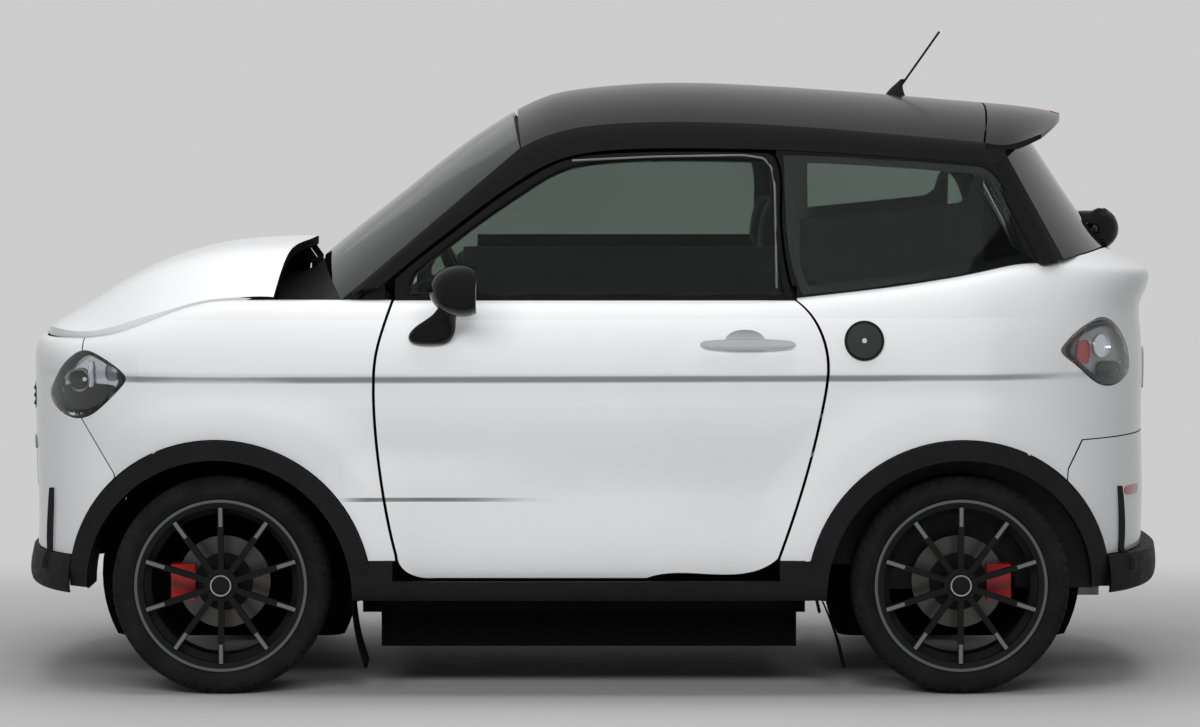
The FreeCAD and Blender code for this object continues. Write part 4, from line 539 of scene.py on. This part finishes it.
def tube(name, points, radius, material, body):
    """A round bar through the points."""
    curve = bpy.data.curves.new(name, "CURVE")
    curve.dimensions = "3D"
    curve.bevel_depth = radius
    curve.bevel_resolution = 3
    curve.use_fill_caps = True
    spline = curve.splines.new("NURBS")
    spline.points.add(len(points) - 1)
    for p, co in zip(spline.points, points):
        p.co = (*co, 1)
    spline.order_u = 3
    spline.use_endpoint_u = True
    spline.resolution_u = 6
    obj = bpy.data.objects.new(name, curve)
    bpy.context.scene.collection.objects.link(obj)
    curve.materials.append(as_material(material))
    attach(obj, body)
    return obj


def squared(value, power):
    """A sine or cosine pushed out, so that a circle nears a square as power grows."""
    return math.copysign(abs(value) ** (2 / power), value)


def decal(name, on, centre, half, material, body, facing="side", sign=1, power=2.0, proud=0.002, dome=0.0,
          outline=None, rings=6, around=64):
    """A thin plate that follows the surface it stands on.

    centre and half are (x, z) for the side, or (y, z) for the front and the rear, where sign is -1. outline
    replaces the rounded shape with given points.
    """
    if outline:
        rim = outline
        around = len(rim)
    else:
        rim = []
        for i in range(around):
            a = 2 * math.pi * i / around
            rim.append((centre[0] + half[0] * squared(math.cos(a), power),
                        centre[1] + half[1] * squared(math.sin(a), power)))
    mid = (sum(p[0] for p in rim) / around, sum(p[1] for p in rim) / around)

    def lifted(u, v, height):
        if facing == "side":
            origin, way = (u, FAR_Y * sign, v), (0, -sign, 0)
        else:
            origin, way = (FAR_X * sign, u, v), (-sign, 0, 0)
        hit = touch(on, origin, way)
        if hit is None:
            return None
        normal = hit[1] if hit[1].dot(Vector(way)) < 0 else -hit[1]
        return hit[0] + normal * height

    verts, faces = [], []
    start = lifted(*mid, proud + dome)
    if start is None:
        raise ValueError(name)
    verts.append(start)
    for k in range(1, rings + 1):
        share = k / rings
        height = proud + dome * (1 - share * share)
        for u, v in rim:
            p = lifted(mid[0] + (u - mid[0]) * share, mid[1] + (v - mid[1]) * share, height)
            verts.append(p if p is not None else verts[-1])
    for u, v in rim:
        p = lifted(*(mid[0] + (u - mid[0]) * 1.002, mid[1] + (v - mid[1]) * 1.002), -0.001)
        verts.append(p if p is not None else verts[-1])
    for i in range(around):
        n = (i + 1) % around
        faces.append((0, 1 + i, 1 + n))
        for k in range(rings):
            a, b = 1 + k * around, 1 + (k + 1) * around
            faces.append((a + i, b + i, b + n, a + n))
    return mesh_piece(name, verts, faces, material, body)


def on_nose(name, centre, half, material, **shape):
    """A plate on the front bumper."""
    decal(name, ["front_bumper"], centre, half, material, "body", facing="front", **shape)


def from_behind(name, on, centre, half, material, body="body", **shape):
    """A plate on a surface that looks to the rear."""
    decal(name, [on], centre, half, material, body, facing="rear", sign=-1, **shape)


def in_lamp(name, on, centre, half, material, sign, proud, **shape):
    """A part of a lamp, this far out from its lens (behind it where proud is below 0)."""
    decal(name, [on], centre, half, material, "body", sign=sign, proud=proud, **shape)


# Tyres, with tread blocks, and what is fixed on the wheels

TYRE_PROFILE = [
    (0.2045, 0.0600), (0.2050, 0.0650), (0.2100, 0.0668), (0.2160, 0.0668), (0.2200, 0.0675), (0.2215, 0.0700),
    (0.2240, 0.0712), (0.2300, 0.0765), (0.2360, 0.0800), (0.2368, 0.0808), (0.2395, 0.0810), (0.2402, 0.0804),
    (0.2460, 0.0815), (0.2520, 0.0808), (0.2580, 0.0788), (0.2630, 0.0755), (0.2675, 0.0715), (0.2710, 0.0670),
    (0.2735, 0.0620), (0.2748, 0.0570), (0.2755, 0.0520), (0.2758, 0.0480),
]
# Two grooves around each half of the tyre, and the cross grooves between its blocks
GROOVES = (0.044, 0.017)
BLOCKS = 56
BLOCK_DEPTH = 0.0055
# The hub's cap with its ring, and a wheel bolt, as (radius, distance out)
CAP = [(0.0001, 0.0735), (0.012, 0.0738), (0.021, 0.0732), (0.0235, 0.0722), (0.0245, 0.0728), (0.0268, 0.0728),
       (0.0278, 0.0715), (0.0282, 0.0665)]
BOLT = [(0.0001, 0.0665), (0.0035, 0.0665), (0.0042, 0.068), (0.0062, 0.068), (0.0068, 0.067), (0.0068, 0.061)]
BOLT_REACH = 0.0355


def tyre_profile():
    """The tyre's whole outline, from bead to bead."""
    half = list(TYRE_PROFILE)
    for groove in GROOVES:
        half += [(0.2762, groove + 0.0042), (0.2705, groove + 0.0034)]
        half += [(0.2705, groove - 0.0034), (0.2764, groove - 0.0042)]
    half.append((0.2768, 0.004))
    return half + [(r, -off) for r, off in reversed(half)]


def tread(angle, radius, off):
    """Depth of the cross grooves at an angle and a distance from the tyre's middle."""
    if radius < 0.2655 or abs(off) < 0.022:
        return 0.0
    lean = angle * BLOCKS / (2 * math.pi) + abs(off) * 14 * (1 if off > 0 else -1)
    share = lean % 1
    depth = BLOCK_DEPTH if share < 0.17 else 0.0
    return depth if abs(off) > 0.0475 or share < 0.12 and abs(off) > 0.03 else 0.0


tyre_black = rubber()
for end, axle in AXLES.items():
    for side, sign in SIDES:
        body = f"wheel_{end}_{side}"
        centre = (axle, WHEEL_Y * sign, AXLE_Z)
        tyre = lathe(f"tyre_{end}_{side}_tread", tyre_profile(), centre, sign, tyre_black, body, 448, tread)
        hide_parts(f"tyre_{end}_{side}")
        lathe(f"cap_{end}_{side}", CAP[:4], centre, sign, black_paint, body, 48)
        lathe(f"cap_ring_{end}_{side}", CAP[3:], centre, sign, silver, body, 48)
        for k in range(4):
            a = math.pi / 4 + k * math.pi / 2
            at = (axle + BOLT_REACH * math.cos(a), WHEEL_Y * sign, AXLE_Z + BOLT_REACH * math.sin(a))
            lathe(f"bolt_{end}_{side}_{k}", BOLT, at, sign, soft_black, body, 6)

# Lamps


def without_loose(obj):
    """Takes away the points that no face uses."""
    bm = bmesh.new()
    bm.from_mesh(obj.data)
    bmesh.ops.delete(bm, geom=[v for v in bm.verts if not v.link_faces], context="VERTS")
    bm.to_mesh(obj.data)
    bm.free()


def lamp_parts(node, name, lens):
    """Splits a lamp's solid into a clear outer lens and an open housing behind it."""
    source = nodes[node].data
    outer, rest = [], []
    for p in source.polygons:
        sign = 1 if p.center.y > 0 else -1
        (outer if p.normal.y * sign > 0.12 else rest).append(tuple(p.vertices))
    verts = [v.co.copy() for v in source.vertices]
    shell = mesh_piece(name + "_lens", verts, outer, lens, "body")
    without_loose(shell)
    solid = shell.modifiers.new("thickness", "SOLIDIFY")
    solid.thickness = 0.0025
    solid.offset = -1
    housing = mesh_piece(name + "_housing", verts, rest, soft_black, "body")
    without_loose(housing)
    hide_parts(node)


lamp_parts("headlamps", "headlamp", lens_clear)
lamp_parts("tail_lamps", "tail_lamp", lens_clear)

# Door handles and filler cap

HANDLE_X, HANDLE_Z = (-0.268, -0.507), 0.892
HANDLE_STEPS = 24
FILLER = (-0.681, 0.900)

# Painted shade: the cup behind the handle is a flat plate painted darker towards its top, where a hollow would
# lie in shadow
cup_paint = paint("paint_cup_painted_shade", WHITE)
shade = cup_paint.spread(cup_paint.axis("Z"), 0.868, 0.925)
cup_paint.set(Base_Color=cup_paint.colours(shade, WHITE, (0.24, 0.245, 0.25)))

for side, sign in SIDES:
    door = "door_" + side
    rings = []
    for k in range(HANDLE_STEPS + 1):
        t = k / HANDLE_STEPS
        x = HANDLE_X[0] + (HANDLE_X[1] - HANDLE_X[0]) * t
        y = side_y([door], x, HANDLE_Z, sign)
        swell = math.sin(math.pi * t) ** 0.35 if 0 < t < 1 else 0.0
        tall, thick = 0.0035 + 0.0105 * swell, 0.002 + 0.006 * swell
        out = 0.007 + 0.009 * swell
        ring = []
        for i in range(20):
            a = 2 * math.pi * i / 20
            ring.append((x, y + sign * (out + thick * math.cos(a)), HANDLE_Z + tall * math.sin(a)))
        rings.append(ring)
    loft("handle_" + side, rings, chrome, door)
    decal("handle_cup_" + side, [door], (-0.381, 0.894), (0.052, 0.034), cup_paint, door, sign=sign, power=2.2,
          proud=0.0006)

filler_black = grained("filler_black", (0.02, 0.021, 0.021), 0.4, 500, 0.0003)
decal("filler_ring", ["quarter_panels"], FILLER, (0.050, 0.050), soft_black, "body", proud=0.004, around=72)
decal("filler_face", ["quarter_panels"], FILLER, (0.043, 0.043), filler_black, "body", proud=0.006, dome=0.002,
      around=72)
decal("filler_lock", ["quarter_panels"], FILLER, (0.006, 0.006), plate_grey, "body", proud=0.0088, rings=2,
      around=24)

# Shaped pieces


def lump(name, centre, half, material, body, power=4.0, tip=0.0, around=40, rings=20, taper=0.0, shown=True):
    """A closed form between a ball and a brick, tipped about Y; taper narrows its top."""
    verts = [(0, 0, -half[2])]
    for k in range(1, rings):
        b = math.pi * k / rings - math.pi / 2
        wide, high = squared(math.cos(b), power), squared(math.sin(b), power)
        share = wide * (1 - taper * (high + 1) / 2)
        for i in range(around):
            a = 2 * math.pi * i / around
            verts.append((half[0] * share * squared(math.cos(a), power),
                          half[1] * share * squared(math.sin(a), power), half[2] * high))
    verts.append((0, 0, half[2]))
    turn = Matrix.Rotation(tip, 4, "Y")
    verts = [Vector(centre) + turn @ Vector(v) for v in verts]
    faces = [(0, 1 + (i + 1) % around, 1 + i) for i in range(around)]
    for k in range(rings - 2):
        for i in range(around):
            n = (i + 1) % around
            a, b = 1 + k * around, 1 + (k + 1) * around
            faces.append((a + i, a + n, b + n, b + i))
    last, top = 1 + (rings - 2) * around, len(verts) - 1
    faces += [(last + i, last + (i + 1) % around, top) for i in range(around)]
    if not shown:
        return verts, faces
    return mesh_piece(name, verts, faces, material, body)


def sheet_of(name, rows, material, body, thick=0.003):
    """A thin plate over rows of points."""
    wide = len(rows[0])
    faces = []
    for i in range(len(rows) - 1):
        for j in range(wide - 1):
            a = i * wide + j
            faces.append((a, a + 1, a + wide + 1, a + wide))
    piece = mesh_piece(name, [p for row in rows for p in row], faces, material, body)
    solid = piece.modifiers.new("thickness", "SOLIDIFY")
    solid.thickness = thick
    solid.offset = 0
    return piece


# Wheelhouse walls and mud flaps

WALL_REACH = (0.10, 0.335)
WALL_Y, WALL_FOOT = 0.366, 0.115
FLAP_Y, FLAP_WIDE = 0.525, 0.17
# Each flap's top and foot, as (x, z)
FLAPS = {"front": ((0.612, 0.231), (0.580, 0.060)), "rear": ((-0.583, 0.231), (-0.637, 0.060))}

for end, axle in AXLES.items():
    for side, sign in SIDES:
        rows = []
        for k in range(7):
            r = WALL_REACH[0] + (WALL_REACH[1] - WALL_REACH[0]) * k / 6
            row = []
            for i in range(65):
                a = 2 * math.pi * i / 64
                z = max(WALL_FOOT, AXLE_Z + r * math.sin(a))
                row.append((axle + r * math.cos(a), sign * (WALL_Y + 0.014 * (k / 6) ** 2), z))
            rows.append(row)
        sheet_of(f"wheelhouse_{end}_{side}", rows, underbody, "body")
        top, foot = FLAPS[end]
        bow = 0.006 if end == "front" else -0.006
        rows = []
        for k in range(9):
            t = k / 8
            rows.append([(
                top[0] + (foot[0] - top[0]) * t + bow * math.sin(math.pi * t),
                sign * (FLAP_Y + FLAP_WIDE * j / 6),
                top[1] + (foot[1] - top[1]) * t + 0.012 * t * abs(j / 3 - 1) ** 3,
            ) for j in range(7)])
        sheet_of(f"flap_{end}_{side}", rows, underbody, "body", 0.004)

# Front of the car: badge place, grille, plate and strips; fins at both ends

silver_plastic = grained("plastic_silver", (0.34, 0.35, 0.36), 0.35, 700, 0.0002, metal=0.5)
red_plastic = paint("plastic_red", (0.42, 0.006, 0.006), 0.2)
deep_black = grained("deep_black", (0.0035, 0.0035, 0.0035), 0.7, 900, 0.0005, shine=0.1)
on_nose("badge_place", (0, 0.842), (0.046, 0.046), gloss_black, proud=0.003, dome=0.003)
on_nose("grille_mouth", (0, 0.733), (0.31, 0.036), deep_black, power=5, proud=0.0015)
for k in range(3):
    on_nose(f"grille_bar_{k}", (0, 0.713 + 0.020 * k), (0.295, 0.0035), soft_black, power=3, proud=0.005, rings=4)
on_nose("front_plate", (0, 0.537), (0.17, 0.048), plate_grey, power=12, proud=0.006)
for side, sign in SIDES:
    on_nose("front_strip_" + side, (0.235 * sign, 0.612), (0.075, 0.018), silver_plastic, power=3, proud=0.003,
            dome=0.002)


def fin(name, on, high, low, y, sign, way):
    """An upright black blade, half sunk in the bumper; way is 1 at the front and -1 at the rear."""
    rings, x = [], None
    for k in range(9):
        t = k / 8
        z = high + (low - high) * t
        hit = touch(on, (FAR_X * way, y * sign, z), (-way, 0, 0))
        if hit:
            x = hit[0].x + 0.002 * way
        swell = 0.4 + 0.6 * math.sin(math.pi * (0.08 + 0.84 * t)) ** 0.5
        ring = []
        for i in range(16):
            a = 2 * math.pi * i / 16
            ring.append((x + 0.013 * swell * math.cos(a), sign * y + 0.006 * math.sin(a), z))
        rings.append(ring)
    loft(name, rings, soft_black, "body")


for side, sign in SIDES:
    fin("fin_front_" + side, ["front_bumper", "end_trims"], 0.508, 0.30, 0.47, sign, 1)
    fin("fin_rear_" + side, ["rear_bumper", "end_trims"], 0.515, 0.30, 0.50, sign, -1)

# Back of the car: lock on the glass, plate, brake light, reflectors

from_behind("tailgate_lock", "tailgate_glass", (0, 1.165), (0.052, 0.044), gloss_black, "tailgate", proud=0.006,
            dome=0.046, power=2.6, rings=10)
from_behind("rear_plate", "tail_panel", (0, 0.80), (0.17, 0.055), plate_grey, power=12, proud=0.006)
low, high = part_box("roof_spoiler")
edge_z = low[2]
while edge_z < high[2] and touch(["roof_spoiler"], (-FAR_X, 0, edge_z), (1, 0, 0)) is None:
    edge_z += 0.001
from_behind("brake_light_high", "roof_spoiler", (0, edge_z + 0.013), (0.11, 0.005), red_plastic, power=4,
            proud=0.002)
for side, sign in SIDES:
    from_behind("reflector_" + side, "rear_bumper", (0.42 * sign, 0.50), (0.05, 0.012), red_plastic, power=4,
                proud=0.002)

# Insides of the lamps, behind their lenses; outlines are (x, z) points

HEAD = [(1.380, 0.774), (1.3545, 0.815), (1.296, 0.866), (1.253, 0.856), (1.215, 0.832), (1.195, 0.800),
        (1.209, 0.770), (1.253, 0.727), (1.316, 0.704), (1.3545, 0.716)]
HEAD_LOW = [(1.225, 0.782), (1.370, 0.776), (1.345, 0.722), (1.312, 0.712), (1.255, 0.733)]
TAIL = [(-1.200, 0.875), (-1.234, 0.918), (-1.298, 0.942), (-1.334, 0.93), (-1.357, 0.884), (-1.368, 0.851),
        (-1.362, 0.81), (-1.334, 0.789), (-1.305, 0.782), (-1.262, 0.806), (-1.220, 0.843)]


def rounded(points, share, steps=6):
    """A smooth closed line through points drawn in towards their middle."""
    n = len(points)
    mx, mz = sum(q[0] for q in points) / n, sum(q[1] for q in points) / n
    line = []
    for i in range(n):
        p0, p1, p2, p3 = (points[(i + j - 1) % n] for j in range(4))
        for k in range(steps):
            t = k / steps
            both = []
            for a, b, c, d in zip(p0, p1, p2, p3):
                both.append(0.5 * (2 * b + (c - a) * t + (2 * a - 5 * b + 4 * c - d) * t * t
                                   + (3 * b - a - 3 * c + d) * t ** 3))
            line.append((mx + (both[0] - mx) * share, mz + (both[1] - mz) * share))
    return line


bright_bar = grained("lamp_bar", (0.85, 0.87, 0.9), 0.25, 400, 0.0001, vary=0.04)
for side, sign in SIDES:
    on = "headlamps"
    in_lamp("head_bowl_" + side, on, None, None, chrome, sign, -0.010, outline=rounded(HEAD, 0.86))
    in_lamp("head_low_" + side, on, None, None, deep_black, sign, -0.008, outline=rounded(HEAD_LOW, 0.95))
    in_lamp("head_bar_" + side, on, (1.283, 0.809), (0.006, 0.034), bright_bar, sign, -0.006, power=4)
    in_lamp("head_eye_ring_" + side, on, (1.318, 0.792), (0.030, 0.030), silver, sign, -0.007)
    in_lamp("head_eye_" + side, on, (1.318, 0.792), (0.024, 0.024), deep_black, sign, -0.005)
    # Painted highlight: a small pale dot inside the headlamp stands in for a glint
    in_lamp("head_painted_glint_" + side, on, (1.300, 0.795), (0.006, 0.006), bright_bar, sign, -0.004)
    in_lamp("head_turn_" + side, on, (1.225, 0.815), (0.016, 0.022), silver_plastic, sign, -0.006, power=3)
    on = "tail_lamps"
    in_lamp("tail_bowl_" + side, on, None, None, silver_plastic, sign, -0.010, outline=rounded(TAIL, 0.84))
    in_lamp("tail_red_" + side, on, (-1.247, 0.866), (0.018, 0.030), red_plastic, sign, -0.006, power=3)
    in_lamp("tail_white_" + side, on, (-1.300, 0.880), (0.024, 0.030), chrome, sign, -0.007)
    in_lamp("tail_dark_" + side, on, (-1.318, 0.818), (0.034, 0.022), deep_black, sign, -0.006, power=3)

# Rubber seal between door frame and body, and the pale strip on the frame, as (x, z) lines

SEAL = [(0.530, 1.036), (0.480, 1.078), (0.394, 1.145), (0.305, 1.220), (0.190, 1.299), (0.088, 1.354),
        (-0.020, 1.370), (-0.25, 1.378), (-0.427, 1.381), (-0.462, 1.365), (-0.476, 1.318), (-0.490, 1.16),
        (-0.500, 1.037)]
SEAL_DEPTH, SEAL_RADIUS = 0.050, 0.011
# The side is felt at these places around a point of the seal
SEAL_FEEL = ((0.012, 0.008), (-0.012, -0.012), (0, 0.014), (0, -0.014))
STRIP = [(0.055, 1.352), (-0.15, 1.362), (-0.38, 1.366), (-0.432, 1.358), (-0.452, 1.335), (-0.460, 1.29),
         (-0.462, 1.16), (-0.463, 1.03)]


def along_line(points, parts):
    """The line's points with parts - 1 more between each two."""
    out = []
    for (x0, z0), (x1, z1) in zip(points, points[1:]):
        out += [(x0 + (x1 - x0) * k / parts, z0 + (z1 - z0) * k / parts) for k in range(parts)]
    return out + [points[-1]]


for side, sign in SIDES:
    line, last = [], 0.6
    for x, z in along_line(SEAL, 2):
        found = [side_y(["greenhouse_frame", "door_" + side], x + dx, z + dz, sign) for dx, dz in SEAL_FEEL]
        found = [abs(y) for y in found if y is not None and abs(y) > 0.4]
        last = max(found) if found else last
        line.append((x, sign * (last - SEAL_DEPTH), z))
    tube("door_seal_" + side, line, SEAL_RADIUS, deep_black, "body")
    line = []
    for x, z in along_line(STRIP, 3):
        y = side_y(["door_" + side, "door_glass_" + side], x, z, sign)
        if y is not None:
            line.append((x, y + sign * 0.001, z))
    tube("frame_strip_" + side, line, 0.0028, seal_grey, "door_" + side)

# Dark trim behind the lower part of the rear side glass

TRIM_TOP = [(-0.525, 1.203), (-0.75, 1.225), (-0.93, 1.244), (-0.955, 1.262), (-0.965, 1.300), (-1.0, 1.345)]
TRIM_DEPTH = 0.032
for side, sign in SIDES:
    rows, last = [], 0.6
    for (x0, z0), (x1, z1) in zip(TRIM_TOP, TRIM_TOP[1:]):
        for k in range(6):
            x, high = x0 + (x1 - x0) * k / 6, z0 + (z1 - z0) * k / 6
            low = 0.995 + (-0.53 - x) * 0.14
            row = []
            for j in range(9):
                z = low + (high - low) * j / 8
                y = side_y(["quarter_glass"], x, z, sign)
                last = abs(y) if y is not None else last
                row.append((x, sign * (last - TRIM_DEPTH), z))
            rows.append(row)
    sheet_of("quarter_trim_" + side, rows, dash_grain, "body")

# Mirror faces

for side, sign in SIDES:
    from_behind("mirror_glass_" + side, "mirror_" + side, (0.83 * sign, 1.012), (0.050, 0.042), chrome,
                "door_" + side, power=3, proud=0.0005)

# Inside: seats

SEAT_Y = 0.30
# The seams across a seat part: which way, where, how wide and how deep
CUSHION_SEAMS = (("y", 0.125, 0.005, 0.007), ("long", 0.09, 0.005, 0.005))
BACK_SEAMS = (("y", 0.125, 0.005, 0.007), ("long", 0.12, 0.005, 0.005))
HEADREST_SEAMS = (("y", 0.085, 0.004, 0.004),)


def free_mesh(name, verts, faces):
    """An object of points and faces on no body yet."""
    mesh = bpy.data.meshes.new(name)
    mesh.from_pydata([tuple(v) for v in verts], [], faces)
    mesh.update()
    obj = bpy.data.objects.new(name, mesh)
    bpy.context.scene.collection.objects.link(obj)
    return obj


def baked(obj):
    """Replaces the mesh by what the modifiers make of it."""
    graph = bpy.context.evaluated_depsgraph_get()
    mesh = bpy.data.meshes.new_from_object(obj.evaluated_get(graph))
    obj.modifiers.clear()
    obj.data = mesh


def stuffed(obj, cap):
    """Blows a closed form up a little as cloth, and keeps that as its shape."""
    even = obj.modifiers.new("even", "REMESH")
    even.mode = "VOXEL"
    even.voxel_size = 0.008
    baked(obj)
    before = [v.co.copy() for v in obj.data.vertices]
    cloth_sim = obj.modifiers.new("cloth", "CLOTH")
    cloth_sim.settings.use_pressure = True
    cloth_sim.settings.uniform_pressure_force = 4
    cloth_sim.settings.effector_weights.gravity = 0
    for number in range(1, 21):
        bpy.context.scene.frame_set(number)
    baked(obj)
    bpy.context.scene.frame_set(1)
    for v, old in zip(obj.data.vertices, before):
        step = v.co - old
        if step.length > cap:
            v.co = old + step * (cap / step.length)
    finer = obj.modifiers.new("finer", "SUBSURF")
    finer.levels = finer.render_levels = 1
    baked(obj)


def seat_part(name, centre, half, tip, power, cap, seams, edge):
    """A padded part of the left seat, sewn along its seams, and its copy for the right one.

    cap limits how far the stuffing moves a point, and edge is where the vinyl sides begin.
    """
    verts, faces = lump(name, centre, half, None, None, power=power, tip=tip, shown=False)
    obj = free_mesh(name, verts, faces)
    stuffed(obj, cap)
    back = Matrix.Rotation(-tip, 3, "Y")
    moves = []
    for v in obj.data.vertices:
        u, w, h = back @ (v.co - Vector(centre))
        depth = 0.0
        for kind, at, wide, deep in seams:
            off = {"y": abs(w), "long": u if half[0] > half[2] else h}[kind] - at
            depth = max(depth, deep * math.exp(-(off / wide) ** 2))
        moves.append(v.co - v.normal * depth)
    for v, place in zip(obj.data.vertices, moves):
        v.co = place
    mesh = obj.data
    mesh.materials.clear()
    mesh.materials.append(as_material(seat_cloth))
    mesh.materials.append(as_material(seat_edge))
    for p in mesh.polygons:
        u, w, h = back @ (p.center - Vector(centre))
        p.material_index = 1 if abs(w) > edge else 0
        p.use_smooth = True
    other = mesh.copy()
    for v in other.vertices:
        v.co.y = -v.co.y
    other.flip_normals()
    twin = bpy.data.objects.new(name + "_right", other)
    bpy.context.scene.collection.objects.link(twin)
    obj.name = name + "_left"
    for each in (obj, twin):
        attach(each, "body")
    return obj, twin


seat_part("seat_cushion", (-0.112, SEAT_Y, 0.455), (0.215, 0.190, 0.048), math.radians(-10), 4.5, 0.012,
          CUSHION_SEAMS, 0.125)
backs = seat_part("seat_back", (-0.372, SEAT_Y, 0.765), (0.034, 0.190, 0.300), math.radians(-14), 4.5, 0.012,
                  BACK_SEAMS, 0.125)
seat_part("seat_headrest", (-0.462, SEAT_Y, 1.178), (0.028, 0.108, 0.070), math.radians(-10), 3.2, 0.009,
          HEADREST_SEAMS, 0.085)
for (side, sign), piece in zip(SIDES, backs):
    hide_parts("seat_" + side)
    lump("seat_foot_" + side, (-0.11, SEAT_Y * sign, 0.315), (0.19, 0.16, 0.092), seat_edge, "body", power=6,
         taper=-0.08)
    lump("seat_hinge_" + side, (-0.300, SEAT_Y * sign, 0.455), (0.035, 0.200, 0.045), soft_black, "body", power=3)
    for k in (-1, 1):
        y = (SEAT_Y + 0.05 * k) * sign
        post = [(-0.447, y, 1.03), (-0.452, y, 1.08), (-0.458, y, 1.14)]
        tube(f"seat_post_{side}_{k + 1}", post, 0.006, chrome, "body")

# Dashboard, wheel, doors, pedals, selector

VENT_Z = 0.935
for k, y in enumerate((-0.47, -0.12, 0.12, 0.47)):
    from_behind(f"vent_ring_{k}", "dashboard", (y, VENT_Z), (0.036, 0.030), silver_plastic, power=3, proud=0.003)
    from_behind(f"vent_hole_{k}", "dashboard", (y, VENT_Z), (0.031, 0.025), deep_black, power=3, proud=0.0045)
from_behind("dash_screen", "dashboard", (0, 0.862), (0.095, 0.038), gloss_black, power=7, proud=0.004)
lump("dash_cluster", (0.430, SEAT_Y, 1.000), (0.030, 0.105, 0.040), dash_grain, "body", power=3.2)
lump("dash_cluster_face", (0.402, SEAT_Y, 1.002), (0.006, 0.085, 0.028), gloss_black, "body", power=5, tip=0.35)
from_behind("wheel_pad", "steering_wheel", (SEAT_Y, 0.985), (0.050, 0.036), dash_grain, "steering_wheel", power=3,
            proud=0.004, dome=0.004)
for side, sign in SIDES:
    lump("door_rest_" + side, (-0.04, 0.548 * sign, 0.735), (0.20, 0.022, 0.026), dash_grain, "door_" + side,
         power=3.5)
    lump("door_pull_" + side, (0.10, 0.540 * sign, 0.775), (0.05, 0.008, 0.010), silver_plastic, "door_" + side,
         power=3)
for k, (y, wide) in enumerate(((0.24, 0.032), (0.35, 0.022))):
    lump(f"pedal_{k}", (0.485, y, 0.36), (0.010, wide, 0.035), soft_black, "body", power=5, tip=math.radians(-30))
    tube(f"pedal_arm_{k}", [(0.49, y, 0.37), (0.515, y, 0.50), (0.50, y, 0.72)], 0.006, steel, "body")
tube("selector_stalk", [(0.395, 0.10, 0.80), (0.37, 0.10, 0.80), (0.345, 0.10, 0.795)], 0.006, silver, "body")
lump("selector_knob", (0.335, 0.10, 0.793), (0.014, 0.014, 0.020), soft_black, "body", power=2.6)

# Floor, light and what stands behind

# Brightness of what stands behind the car, and of the sky that lights it
BACK, SKY = 0.61, 0.13
# The floor fades into the back between these distances, counted less along the car
FADE_NEAR, FADE_FAR, FADE_LONG = 1.15, 3.2, 0.62

floor_mat = Nodes("floor_pale")
tone = floor_mat.spread(floor_mat.noise(0.4, 2), 0.3, 0.7)
floor_mat.set(Base_Color=floor_mat.colours(tone, (0.43, 0.43, 0.43), (0.45, 0.45, 0.45)))
floor_mat.set(Roughness=0.6, Specular_IOR_Level=0.2)
along = floor_mat.math("POWER", floor_mat.math("MULTIPLY", floor_mat.axis("X"), FADE_LONG), 2.0)
away = floor_mat.math("SQRT", floor_mat.math("ADD", along, floor_mat.math("POWER", floor_mat.axis("Y"), 2.0)))
fade = floor_mat.spread(away, FADE_NEAR, FADE_FAR, kind="SMOOTHERSTEP")
glow = floor_mat.add("Emission")
glow.inputs["Color"].default_value = (BACK, BACK, BACK, 1)
both = floor_mat.add("MixShader")
rays = floor_mat.add("LightPath")
seen = floor_mat.math("MAXIMUM", rays.outputs["Is Camera Ray"], rays.outputs["Is Transmission Ray"])
seen = floor_mat.math("MAXIMUM", seen, rays.outputs["Is Glossy Ray"])
floor_mat.link(floor_mat.math("MULTIPLY", fade, seen), both.inputs[0])
floor_mat.link(floor_mat.shader.outputs[0], both.inputs[1])
floor_mat.link(glow.outputs[0], both.inputs[2])
floor_mat.link(both.outputs[0], floor_mat.tree.nodes["Material Output"].inputs["Surface"])
bpy.ops.mesh.primitive_plane_add(size=60, location=(0, 0, 0))
floor = bpy.context.object
floor.name = "studio_floor"
floor.data.materials.append(floor_mat.material)
floor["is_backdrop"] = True

world = bpy.data.worlds.new("studio")
bpy.context.scene.world = world
world.use_nodes = True
sky = world.node_tree
background = sky.nodes["Background"]
background.inputs["Color"].default_value = (1, 1, 1, 1)
paths = sky.nodes.new("ShaderNodeLightPath")
seen_by = paths.outputs["Is Camera Ray"]
for ray in ("Is Transmission Ray", "Is Glossy Ray"):
    either = sky.nodes.new("ShaderNodeMath")
    either.operation = "MAXIMUM"
    sky.links.new(seen_by, either.inputs[0])
    sky.links.new(paths.outputs[ray], either.inputs[1])
    seen_by = either.outputs[0]
level = sky.nodes.new("ShaderNodeMapRange")
level.inputs["To Min"].default_value = SKY
level.inputs["To Max"].default_value = BACK
sky.links.new(seen_by, level.inputs["Value"])
sky.links.new(level.outputs[0], background.inputs["Strength"])


def lamp(name, place, aim, size, power):
    """A soft box that lights the car without a bright patch on its gloss."""
    data = bpy.data.lights.new(name, "AREA")
    data.shape = "RECTANGLE"
    data.size, data.size_y = size
    data.energy = power
    obj = bpy.data.objects.new(name, data)
    obj.location = place
    obj.rotation_euler = (Vector(aim) - Vector(place)).to_track_quat("-Z", "Y").to_euler()
    obj.visible_glossy = False
    bpy.context.scene.collection.objects.link(obj)


lamp("light_top", (0, 0.4, 4.4), (0, 0, 0.6), (5.0, 2.4), 160)
lamp("light_side", (0.8, 6.0, 3.6), (0, 0, 0.7), (6.0, 1.8), 285)
lamp("light_back", (0, -5.0, 3.4), (0, 0, 0.8), (5.0, 1.6), 70)

bpy.context.scene.view_settings.view_transform = "Standard"

low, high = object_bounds()
